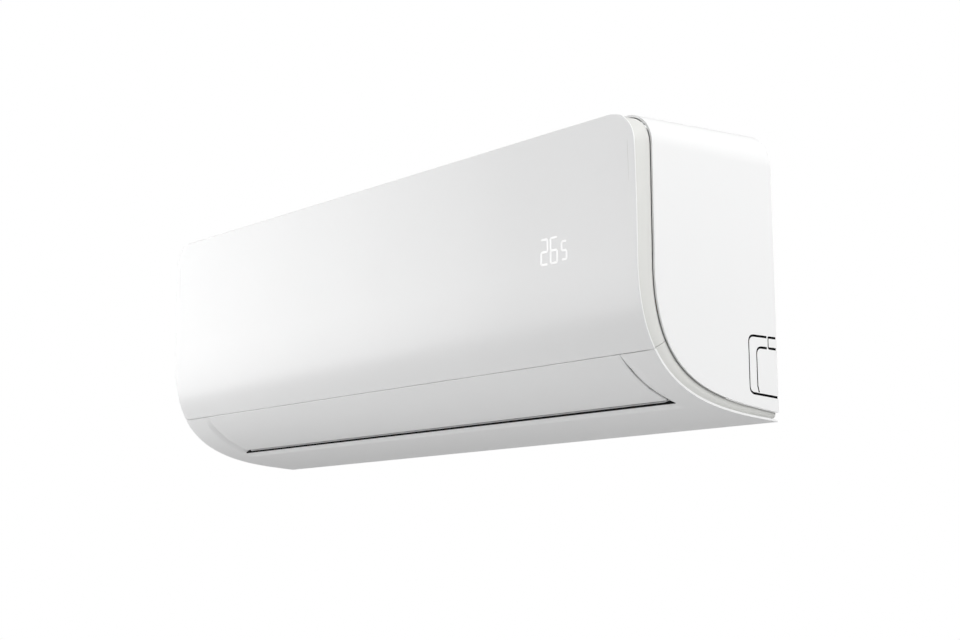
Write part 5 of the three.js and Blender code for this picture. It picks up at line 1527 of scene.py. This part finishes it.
@dataclass
class Filters:
    """The two lift-out air filters: a ribbed frame with a fine net, bent over the coils."""

    spans: tuple[Point, Point] = ((-426.0, -42.0), (-34.0, 356.0))
    thickness: float = 3.0
    rib: float = 8.0
    columns: int = 4
    pitch: float = 64.0
    net: float = 0.4
    tab_width: float = 36.0
    tab: tuple[Point, Point] = ((-188.5, 113.2), (-181.5, 115.8))
    foot: Point = (-182.5, 103.0)
    bends: tuple[tuple[Point, Point, Point], ...] = (
        ((-182.5, 198.0), (-182.5, 216.0), (-172.5, 230.0)),
        ((-128.0, 295.0), (-118.0, 309.0), (-102.0, 309.0)),
    )
    rear: Point = (-62.0, 309.0)
    inner_side: Point = (-90.0, 190.0)  # a point on the side of the coils

    def line(self) -> list[Vector]:
        """The outer line in side view, from the foot up and over to the rear."""
        points = [Vector(self.foot)]
        for bend in self.bends:
            handles = [Vector(handle) for handle in bend]
            points += [bent(*handles, share) for share in spread(0.0, 1.0, 8)]
        return points + [Vector(self.rear)]

    def along(self, line: list[Vector], distance: float) -> Vector:
        """The point at a distance along a line."""
        for first, second in zip(line, line[1:]):
            run = (second - first).length
            if distance <= run + 1e-6:
                return first.lerp(second, distance / run)
            distance -= run
        return line[-1]

    def stations(self, start: float, end: float, count: int) -> tuple[list[float], list[Point]]:
        """Where ribs and openings begin and end between two limits.

        Args:
            start: the first limit.
            end: the last limit.
            count: how many openings there are.

        Returns:
            The places of all edges, with some between them, and the openings as pairs.
        """
        pitch = (end - start - self.rib) / count
        openings = [(start + i * pitch + self.rib, start + (i + 1) * pitch) for i in range(count)]
        places = [start]
        for low, high in openings:
            places += spread(low, high, 6)
        return places + [end], openings

    def build(self) -> None:
        """Makes both filters."""
        line = self.line()
        length = sum((b - a).length for a, b in zip(line, line[1:]))
        ups, up_openings = self.stations(0.0, length, round(length / self.pitch))
        for name, span in zip(("filter_left", "filter_right"), self.spans):
            acrosses, across_openings = self.stations(*span, self.columns)
            grid = [[place(x, *self.along(line, up)) for x in acrosses] for up in ups]
            form = Form()
            form.sweep(grid)
            form.mesh.normal_update()
            open_faces = []
            for face in form.mesh.faces:
                x = face.calc_center_median().x / MM
                if not any(low < x < high for low, high in across_openings):
                    continue
                if self.in_row(face, line, ups, up_openings):
                    open_faces.append(face)
            bmesh.ops.delete(form.mesh, geom=open_faces, context="FACES")
            form.face_away(HEART * MM)
            rest = {"wall": self.thickness, "edge": 0.5, "rounds": 2, "stands_for": [name]}
            form.piece(f"{name}_frame", name, Finish.FRAME, **rest)
            self.add_net(name, line, ups, acrosses)
            middle = sum(span) / 2
            tab = Form()
            half = self.tab_width / 2
            tab.block((middle - half, *self.tab[0]), (middle + half, *self.tab[1]))
            tab.piece(f"{name}_tab", name, Finish.FRAME, edge=1.1, rounds=3)

    def in_row(
        self, face: bmesh.types.BMFace, line: list[Vector], ups: list[float], rows: list[Point]
    ) -> bool:
        """Whether a face lies in one of the openings' rows."""
        middle = face.calc_center_median() / MM
        here = Vector((middle.y, middle.z + ORIGIN_HEIGHT))
        middles = [(a + b) / 2 for a, b in zip(ups, ups[1:])]
        nearest = min(middles, key=lambda up: (self.along(line, up) - here).length)
        return any(low < nearest < high for low, high in rows)

    def add_net(self, name: str, line: list[Vector], ups: list[float], acrosses: list[float]) -> None:
        """Lays the net in the middle of the frame's thickness."""
        heart = Vector(self.inner_side)
        rows = []
        for up in ups[1:-1]:
            point = self.along(line, up)
            inner = point + (heart - point).normalized() * self.thickness / 2
            rows.append([place(x, *inner) for x in acrosses[1:-1]])
        skin(f"{name}_net", name, Finish.NET, rows, self.net)


@dataclass
class Electrics:
    """The box at the right with its board, and the parts of the board that the part leaves out."""

    board_front: float = -81.6
    foot: float = 0.1  # gap between a part and the board
    # places on the board are along it and up it, sizes along it, up it and out of it
    relay: Point = (446.0, 250.0)
    relay_size: Knot = (13.0, 11.0, 16.0)
    relay_pitch: float = 15.0
    sockets: tuple[Point, ...] = ((455.0, 214.0), (455.0, 230.0))
    socket_size: Knot = (9.0, 12.0, 9.0)
    small_can: Point = (3.2, 11.0)  # radius and length
    large_can: Point = (4.5, 15.0)
    can_places: tuple[Point, ...] = ((404.0, 240.0), (394.0, 252.0), (394.0, 270.0))
    chip: Point = (396.0, 222.0)
    chip_size: Knot = (8.0, 26.0, 3.2)
    leg_columns: Point = (391.0, 401.0)
    leg_rows: int = 11
    leg_low: float = 210.8
    leg_pitch: float = 2.24
    leg_size: Knot = (1.6, 0.8, 1.6)
    resistors: int = 7
    resistor: Point = (406.0, 292.0)
    resistor_size: Knot = (2.4, 5.0, 2.0)
    resistor_pitch: float = 7.0
    lead_radius: float = 1.1
    lead_start: Point = (404.0, 9.5)  # the first lead's place at the terminal block, and the pitch there
    lead_end: Point = (438.0, 5.0)  # the same at the relays

    def build(self) -> None:
        """Finishes the box and fills the board."""
        refined("control_box", Finish.INNER, 0.6, 3)
        refined("control_box_cover", Finish.ZINC, 0.4)
        refined("control_board", Finish.BOARD, 0.25)
        refined("terminal_block", Finish.INNER, 0.35)
        refined("capacitor", Finish.RELAY, 1.2, 3)
        refined("transformer", Finish.STEEL, 0.6)
        refined("display_board", Finish.INNER, 0.4)
        self.relays()
        self.cans()
        self.chips()
        self.leads()

    def on_board(self, form: Form, x: float, z: float, size: Knot) -> None:
        """A block that stands on the board, from its middle and its size."""
        width, height, depth = size
        front = self.board_front - self.foot
        form.block((x - width / 2, front - depth, z - height / 2), (x + width / 2, front, z + height / 2))

    def relays(self) -> None:
        """Three relays in a row and two plug sockets."""
        form = Form()
        for i in range(3):
            self.on_board(form, self.relay[0], self.relay[1] + self.relay_pitch * i, self.relay_size)
        form.piece("relays", "unit", Finish.RELAY, edge=0.6, rounds=3)
        sockets = Form()
        for socket in self.sockets:
            self.on_board(sockets, *socket, self.socket_size)
        sockets.piece("plug_sockets", "unit", Finish.VANE, edge=0.4)

    def cans(self) -> None:
        """Three electrolytic cans with their rounded rims."""
        form = Form()
        kinds = (self.large_can, self.small_can, self.small_can)
        for (x, z), (radius, tall) in zip(self.can_places, kinds):
            base = place(x, self.board_front - self.foot, z)
            form.bar(base, base - Vector((0.0, tall * MM, 0.0)), radius, 28)
        form.merge()
        form.piece("cans", "unit", Finish.RELAY, edge=0.5, rounds=3)

    def chips(self) -> None:
        """A controller chip with its legs, and a row of small resistors."""
        form = Form()
        self.on_board(form, *self.chip, self.chip_size)
        form.piece("chip", "unit", Finish.RELAY, edge=0.3)
        legs = Form()
        for i in range(self.leg_rows):
            for x in self.leg_columns:
                self.on_board(legs, x, self.leg_low + self.leg_pitch * i, self.leg_size)
        for i in range(self.resistors):
            x, z = self.resistor
            self.on_board(legs, x + self.resistor_pitch * i, z, self.resistor_size)
        legs.piece("chip_legs", "unit", Finish.STEEL, edge=0.15, rounds=1)

    def leads(self) -> None:
        """The three insulated leads from the terminal block up to the relays."""
        form = Form()
        for i in range(3):
            x = self.lead_start[0] + self.lead_start[1] * i
            end = self.lead_end[0] + self.lead_end[1] * i
            knots = [(x, -101.0, 224.6), (x, -106.0, 236.0), (x + 10.0, -116.0, 246.0)]
            knots += [(x + 12.0, -112.0, 262.0), (end, -106.0, 288.0), (end, -82.4, 291.0)]
            path = spline(knots, 6)
            form.tube(path, [self.lead_radius] * len(path), 10)
        form.piece("board_leads", "unit", Finish.SEAL)


def spline(knots: Sequence[Knot], steps: int) -> list[Vector]:
    """A smooth curve through knots, by centripetal spacing, with so many steps from one knot to the next."""
    points = [Vector(knot) for knot in knots]
    points = [points[0] * 2 - points[1]] + points + [points[-1] * 2 - points[-2]]
    made = []
    for i in range(1, len(points) - 2):
        a, b, c, d = points[i - 1 : i + 3]
        t1 = math.sqrt((b - a).length)
        t2 = t1 + math.sqrt((c - b).length)
        t3 = t2 + math.sqrt((d - c).length)
        for share in spread(0.0, 1.0, steps)[:-1]:
            t = t1 + (t2 - t1) * share
            ab = a.lerp(b, t / t1)
            bc = b.lerp(c, (t - t1) / (t2 - t1))
            cd = c.lerp(d, (t - t2) / (t3 - t2))
            made.append(ab.lerp(bc, t / t2).lerp(bc.lerp(cd, (t - t1) / (t3 - t1)), (t - t1) / (t2 - t1)))
    return made + [points[-2]]


# ---- Air and heat ----


@dataclass
class Fan:
    """The long cross-flow wheel with its many curved blades, on its shaft."""

    axis: Point = (-96.0, 138.0)
    left: float = -420.0
    right: float = 352.0
    radius: float = 52.0
    depth: float = 12.0
    sheet: float = 3.0
    discs: int = 4
    blades: int = 35
    blade: float = 1.0
    sweep: float = 0.2  # how far a blade leans over, in radians
    hub: float = 11.0
    hub_length: float = 14.0
    hub_gap: float = 0.1
    tip: float = 0.9  # how far a blade's tip lies inside the wheel's radius
    blade_depth: float = 0.97  # how much of the wheel's depth a blade takes up
    seams: Point = (386.5, 423.5)  # where the two seams of the motor's can lie
    # a seam's section: places along the can from its middle, and radii
    seam: tuple[Point, ...] = ((-1.6, 43.7), (-0.9, 44.3), (0.9, 44.3), (1.6, 43.7))
    bore: float = 4.3

    def at(self, x: float, radius: float, turn: float) -> Vector:
        """A point at a radius and a turn about the wheel's axis."""
        return place(x, self.axis[0] + radius * math.cos(turn), self.axis[1] + radius * math.sin(turn))

    def ring(self, form: Form, profile: list[Point], steps: int) -> None:
        """A closed profile of places along the wheel and radii, spun about the wheel's axis."""
        points = [self.at(x, radius, 0.0) for x, radius in profile + profile[:1]]
        form.lathe(points, place(0.0, *self.axis), Vector((1.0, 0.0, 0.0)), steps)

    def build(self) -> None:
        """Makes the discs, the blades and the seams, and finishes the drive."""
        discs = Form()
        for i in range(self.discs):
            x = self.left + (self.right - self.left - self.sheet) * i / (self.discs - 1)
            at_end = i in (0, self.discs - 1)
            inner = self.bore if at_end else self.radius - self.depth - 2
            outer, back = self.radius - 1, x + self.sheet
            self.ring(discs, [(x, inner), (x, outer), (back, outer), (back, inner)], 64)
        start, end = self.right + self.hub_gap, self.right + self.hub_length
        self.ring(discs, [(start, self.bore), (start, self.hub), (end, self.hub - 1), (end, self.bore)], 40)
        discs.merge()
        discs.piece("wheel_discs", "fan", Finish.WHEEL, edge=0.6, rounds=2, stands_for=["fan_wheel"])
        blades = Form()
        for i in range(self.blades):
            turn = math.tau * i / self.blades
            line = []
            for share in spread(0.0, self.blade_depth, 5):
                line.append((self.tip + self.depth * share, turn + self.sweep * math.sin(share * 2.0)))
            rows = []
            for x in (self.left + 1, self.right - 1):
                rows.append([self.at(x, self.radius - inward, angle) for inward, angle in line])
            blades.sweep(rows)
        bmesh.ops.solidify(blades.mesh, geom=blades.mesh.faces, thickness=self.blade * MM)
        bmesh.ops.recalc_face_normals(blades.mesh, faces=blades.mesh.faces)
        blades.piece("wheel_blades", "fan", Finish.WHEEL, sharp=50.0)
        refined("fan_shaft", Finish.STEEL, 0.5)
        refined("fan_bearing", Finish.SEAL, 0.8)
        refined("fan_motor", Finish.ZINC, 2.2, 4)
        refined("motor_clamp", Finish.INNER, 0.5)
        self.motor_seams()

    def motor_seams(self) -> None:
        """The two rolled seams round the motor's can."""
        form = Form()
        for x in self.seams:
            self.ring(form, [(x + along, radius) for along, radius in self.seam], 64)
        form.merge()
        form.piece("motor_seams", "unit", Finish.STEEL)


@dataclass
class Coils:
    """The three finned coils over the wheel, with their ends."""

    left: float = -422.0
    right: float = 350.0
    thick: float = 23.0
    pitch: float = 3.0
    fin: float = 0.5
    recess: float = 1.4
    fin_shade: float = 0.88  # thickness of the dark slab of painted shade between the fins, as a share of the fins'
    runs: tuple[tuple[str, Point, Point], ...] = (
        ("coil_front", (-163.5, 98.0), (-163.5, 192.0)),
        ("coil_upper", (-159.5, 200.0), (-102.0, 292.0)),
        ("coil_rear", (-80.0, 286.0), (-36.0, 210.0)),
    )

    def build(self) -> None:
        """Makes the fins with a dark slab of painted shade between them, and finishes the ends."""
        for name, start, end in self.runs:
            self.section(name, Vector(start), Vector(end))
        for node in ("coil_end_left", "coil_end_right"):
            refined(node, Finish.COPPER, 0.3, 2, 40.0)

    def section(self, name: str, start: Vector, end: Vector) -> None:
        """One coil: its stack of thin fins, with a darker slab between them as painted shade."""
        run = (end - start).normalized()
        side = Vector((-run.y, run.x)) * self.thick / 2
        fins = Form()
        count = int((self.right - self.left) / self.pitch)
        corners = [start - side, end - side, end + side, start + side]
        for i in range(count + 1):
            x = self.left + self.fin + (self.right - self.left - 2 * self.fin) * i / count - self.fin / 2
            fins.extrusion(corners, x, self.fin)
        bmesh.ops.recalc_face_normals(fins.mesh, faces=fins.mesh.faces)
        fins.piece(f"{name}_fins", "unit", Finish.FINS, stands_for=[name])
        # a dark slab inside the stack: painted shade between the fins
        fin_shade = Form()
        low, high, half = start + run * self.recess, end - run * self.recess, side * self.fin_shade
        corners = [low - half, high - half, high + half, low + half]
        fin_shade.extrusion(corners, self.left + 1, self.right - self.left - 2)
        fin_shade.merge()
        fin_shade.piece(f"{name}_core", "unit", Finish.CORE, edge=0.4)


@dataclass
class Piping:
    """The two copper pipes in their foam, the drain hose and pan, and the cover over the pipes."""

    gas: tuple[Knot, ...] = (
        (352.2, -164.0, 115.0), (374.0, -165.0, 116.0), (429.5, -165.0, 122.0), (455.5, -148.0, 114.0),
        (457.5, -92.0, 74.0), (449.5, -48.0, 44.0), (414.5, -34.0, 38.0), (369.5, -34.0, 38.0),
    )
    liquid: tuple[Knot, ...] = (
        (353.0, -154.0, 209.0), (366.0, -155.0, 204.0), (382.0, -158.0, 182.0), (425.5, -158.0, 172.0),
        (457.5, -138.0, 160.0), (461.5, -74.0, 106.0), (453.5, -30.0, 74.0), (414.5, -22.0, 66.0),
        (369.5, -22.0, 66.0),
    )
    hose: tuple[Knot, ...] = (
        (398.0, -163.5, 97.0), (441.5, -162.0, 94.0), (457.5, -144.0, 84.0), (459.5, -112.0, 58.0),
        (455.5, -84.0, 32.0), (439.5, -62.0, 22.0), (411.5, -58.0, 21.0),
    )
    knot_steps: int = 8  # steps of a pipe's curve from one knot to the next
    sleeve_from: int = 3  # the knot at which a pipe's foam starts
    sleeve_short: float = 70.0
    pinch: float = 0.025  # how much the tape takes off a sleeve's radius, as a share
    wind: float = 1.7  # turn of the tape from one point of a sleeve to the next, in radians
    cuff: float = 8.0  # radius of the hose round its bend
    plain: float = 7.6  # its radius between the ribs and at its end
    rib_pitch: float = 4.3
    rib_end: float = 24.5
    rib: tuple[Point, ...] = ((0.3, 8.7), (0.5, 8.95), (0.7, 8.7))  # shares of the pitch, and radii

    def build(self) -> None:
        """Makes the pipes, the foam and the hose."""
        for name, knots, end, radius, sleeve in (
            ("gas", self.gas, -250.0, 6.3, 11.9),
            ("liquid", self.liquid, -190.0, 3.2, 7.9),
        ):
            path = spline(knots, self.knot_steps)
            last = path[-1]
            whole = path + [Vector((x, last.y, last.z)) for x in spread(last.x, end, 24)[1:]]
            pipe = Form()
            pipe.tube(whole, [radius] * len(whole), 24)
            pipe.piece(
                f"{name}_copper", "unit", Finish.COPPER, edge=0.5, rounds=2, stands_for=[f"{name}_pipe"]
            )
            self.foam(name, path[self.sleeve_from * self.knot_steps :], end + self.sleeve_short, sleeve)
            refined(f"{name}_nut", Finish.BRASS, 0.7, 3)
        self.drain()
        refined("pipe_cover", Finish.INNER, 0.5)
        refined("drain_pan", Finish.INNER, 0.5)

    def foam(self, name: str, path: list[Vector], end: float, radius: float) -> None:
        """The foam sleeve, a little pinched where its tape is wound, along the pipe and the straight run."""
        last = path[-1]
        centre = path + [Vector((x, last.y, last.z)) for x in spread(last.x, end, 60)[1:]]
        radii = [radius * (1.0 - self.pinch * (1.0 - math.cos(i * self.wind))) for i in range(len(centre))]
        form = Form()
        form.tube(centre, radii, 32)
        form.piece(f"{name}_foam", "unit", Finish.FOAM, edge=0.8, rounds=3, stands_for=[f"{name}_sleeve"])

    def drain(self) -> None:
        """The hose: a smooth cuff round the bend, then fine ribs to its plain end."""
        path = spline(self.hose, 10)
        last = path[-1]
        radii = [self.cuff] * len(path)
        x = last.x - self.rib_pitch
        while x > self.rib_end + self.rib_pitch:
            for shift, radius in ((0.0, self.plain), *self.rib):
                path.append(Vector((x - self.rib_pitch * shift, last.y, last.z)))
                radii.append(radius)
            x -= self.rib_pitch
        path += [Vector((self.rib_end + 2, last.y, last.z)), Vector((self.rib_end, last.y, last.z))]
        radii += [self.plain, self.plain]
        form = Form()
        form.tube(path, radii, 28)
        form.piece(
            "ribbed_hose", "unit", Finish.HOSE, edge=0.4, rounds=2, sharp=70.0, stands_for=["drain_hose"]
        )


@dataclass
class Body:
    """The rest of the unit: the chassis, the wall plate, the vanes and the small fittings."""

    screw_x: tuple[float, ...] = (-442.0, -38.0, 442.0)
    screw_z: float = 85.0
    slot: Point = (3.6, 0.9)  # length and width of each slot of a screw's recess
    recess: Point = (-189.5, -187.5)  # where the recess begins and ends
    vane_count: int = 5
    # bounds of the chassis faces that get painted shade
    duct_half: float = 440.0
    lip_reach: float = -90.0
    lip_height: float = -138.0  # above the frame's origin
    end_half: float = 468.0

    def build(self) -> None:
        """Finishes the chassis, the plate, the small fittings, the vanes and the screws."""
        self.paint_shade(refined("chassis", Finish.INNER, 0.4, 2, 24.0))
        refined("mounting_plate", Finish.ZINC, 0.35)
        refined("louver_motor", Finish.STEEL, 0.7, 3)
        refined("manual_button", Finish.INNER, 0.5, 3)
        refined("button_switch", Finish.RELAY, 0.3)
        refined("air_sensor", Finish.RELAY, 0.5, 3)
        for side in ("left", "right"):
            for i in range(self.vane_count):
                refined(f"vane_{side}_{i + 1}", Finish.VANE, 0.55, 3)
            refined(f"vane_link_{side}", Finish.VANE, 0.5, 3)
        for i, x in enumerate(self.screw_x):
            self.screw(f"frame_screw_{i + 1}", x)

    def paint_shade(self, chassis: bpy.types.Object) -> None:
        """Paints shade in near-black on the inside of the outlet and on the chassis ends behind the
        knock-outs.
        """
        chassis.data.materials.append(Finish.DUCT.material())
        centre = place(0.0, *Fan.axis)
        for face in chassis.data.polygons:
            to_axis = centre - face.center
            here = face.center / MM
            in_duct = abs(here.x) < self.duct_half and abs(face.normal.x) < 0.5
            turned_in = to_axis.y * face.normal.y + to_axis.z * face.normal.z > 0
            at_lip = here.y < self.lip_reach and here.z < self.lip_height
            at_end = abs(here.x) > self.end_half and abs(face.normal.x) > 0.9
            if (in_duct and (turned_in or at_lip)) or at_end:
                face.material_index = 1

    def screw(self, node: str, x: float) -> None:
        """A screw with its rounded head and a crossed recess."""
        made = refined(node, Finish.STEEL, 0.45, 3)
        cross = Form()
        front, back = self.recess
        for wide, tall in (self.slot, self.slot[::-1]):
            low = (x - wide / 2, front, self.screw_z - tall / 2)
            cross.block(low, (x + wide / 2, back, self.screw_z + tall / 2))
        # the recess's walls take the near-black finish: painted shade
        cut_by(made, cross)


# ---- Studio ----


@dataclass
class Studio:
    """The camera, the lights and the pale floor."""

    camera_at: Vector = field(default_factory=lambda: Vector((1.7428, -1.4226, -0.3641)))
    yaw: float = 51.34  # degrees that the camera is turned to its left of the wall's normal
    pitch: float = 12.08  # degrees that it looks up
    focal_pixels: float = 1732.8
    image_width: float = 960.0
    sensor: float = 36.0
    shift: float = -0.104
    floor_height: float = -1.6
    floor_grey: float = 0.69  # how much of the light it throws back up
    floor_glow: float = 0.6  # how much brighter the camera sees it, so that the ground looks white
    backdrop: float = 1.0  # how bright the surround looks
    ambient: float = 0.47  # how bright it shines from above
    below: float = 0.12  # how much of that it shines from below

    def camera(self) -> None:
        """Puts the camera where the photograph was taken."""
        data = bpy.data.cameras.new("camera")
        data.sensor_width = self.sensor
        data.lens = self.focal_pixels / self.image_width * self.sensor
        data.shift_y = self.shift
        data.clip_end = 60.0
        yaw, pitch = math.radians(self.yaw), math.radians(self.pitch)
        look = Vector((-math.sin(yaw) * math.cos(pitch), math.cos(yaw) * math.cos(pitch), math.sin(pitch)))
        made = link("camera", data)
        made.location = self.camera_at
        made.rotation_euler = look.to_track_quat("-Z", "Y").to_euler()
        bpy.context.scene.camera = made

    def lamp(self, name: str, at: Vector, aim: Vector, size: float, power: float) -> None:
        """A soft square lamp, from its place, what it points at, its side in metres and its power."""
        data = bpy.data.lights.new(name, "AREA")
        data.size = size
        data.energy = power
        made = link(name, data)
        made.location = at
        made.rotation_euler = (aim - at).to_track_quat("-Z", "Y").to_euler()

    def sky(self) -> None:
        """A surround that looks plain white, and that lights the unit more from above than from below."""
        world = bpy.data.worlds.new("surround")
        world.use_nodes = True
        tree = world.node_tree
        seen = tree.nodes["Background"]
        seen.inputs["Color"].default_value = (1.0, 1.0, 1.0, 1.0)
        seen.inputs["Strength"].default_value = self.backdrop
        lit = tree.nodes.new("ShaderNodeBackground")
        lit.inputs["Strength"].default_value = self.ambient
        parts = tree.nodes.new("ShaderNodeSeparateXYZ")
        tree.links.new(tree.nodes.new("ShaderNodeTexCoord").outputs["Generated"], parts.inputs[0])
        share = ranged(tree, parts.outputs["Z"], (-0.5, 0.7), (self.below, 1.0))
        tree.links.new(share, lit.inputs["Color"])
        either = tree.nodes.new("ShaderNodeMixShader")
        tree.links.new(tree.nodes.new("ShaderNodeLightPath").outputs["Is Camera Ray"], either.inputs["Fac"])
        tree.links.new(lit.outputs[0], either.inputs[1])
        tree.links.new(seen.outputs[0], either.inputs[2])
        tree.links.new(either.outputs[0], tree.nodes["World Output"].inputs["Surface"])
        bpy.context.scene.world = world

    def floor(self) -> None:
        """A plain pale floor, far below the unit."""
        form = Form()
        down = Matrix.Translation((0, 0, self.floor_height))
        bmesh.ops.create_grid(form.mesh, x_segments=4, y_segments=4, size=12.0, matrix=down)
        data = bpy.data.meshes.new("floor")
        form.mesh.to_mesh(data)
        form.mesh.free()
        recipe = Recipe("floor_paint")
        grey = self.floor_grey
        recipe.shader.inputs["Base Color"].default_value = (grey, grey, grey, 1.0)
        recipe.shader.inputs["Roughness"].default_value = 0.9
        seen = recipe.tree.nodes.new("ShaderNodeLightPath").outputs["Is Camera Ray"]
        recipe.shader.inputs["Emission Color"].default_value = (1.0, 1.0, 1.0, 1.0)
        recipe.feed(maths(recipe.tree, "MULTIPLY", seen, self.floor_glow), "Emission Strength")
        data.materials.append(recipe.material)
        link("floor", data)

    def build(self) -> None:
        """Makes the camera, the floor and the light."""
        self.camera()
        self.floor()
        self.sky()
        bpy.context.scene.view_settings.view_transform = "Standard"
        middle = Vector((0.0, -0.1, 0.0))
        self.lamp("key", Vector((-1.4, -3.0, 0.28)), Vector((-0.1, -0.1, 0.0)), 2.0, 31.2)
        self.lamp("sheen", Vector((-1.9, -1.2, 0.15)), Vector((-0.3, -0.1, 0.0)), 1.2, 12.0)
        self.lamp("side", Vector((3.4, 0.2, 2.0)), middle, 2.2, 108.0)
        self.lamp("top", Vector((0.0, -0.5, 2.2)), middle, 2.0, 14.0)


def main() -> None:
    """Builds the unit, piece by piece, and its studio."""
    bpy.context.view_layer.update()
    Studio().build()
    for part in (FrontPanel(), Neck(), Display(), LowerFrame(), Louver(), Casing()):
        part.build()
    for part in (InnerFront(), Filters(), Electrics(), Fan(), Coils(), Piping(), Body()):
        part.build()


if __name__ == "__main__":
    logging.basicConfig(level=logging.INFO, format="%(name)s: %(message)s")
    main()
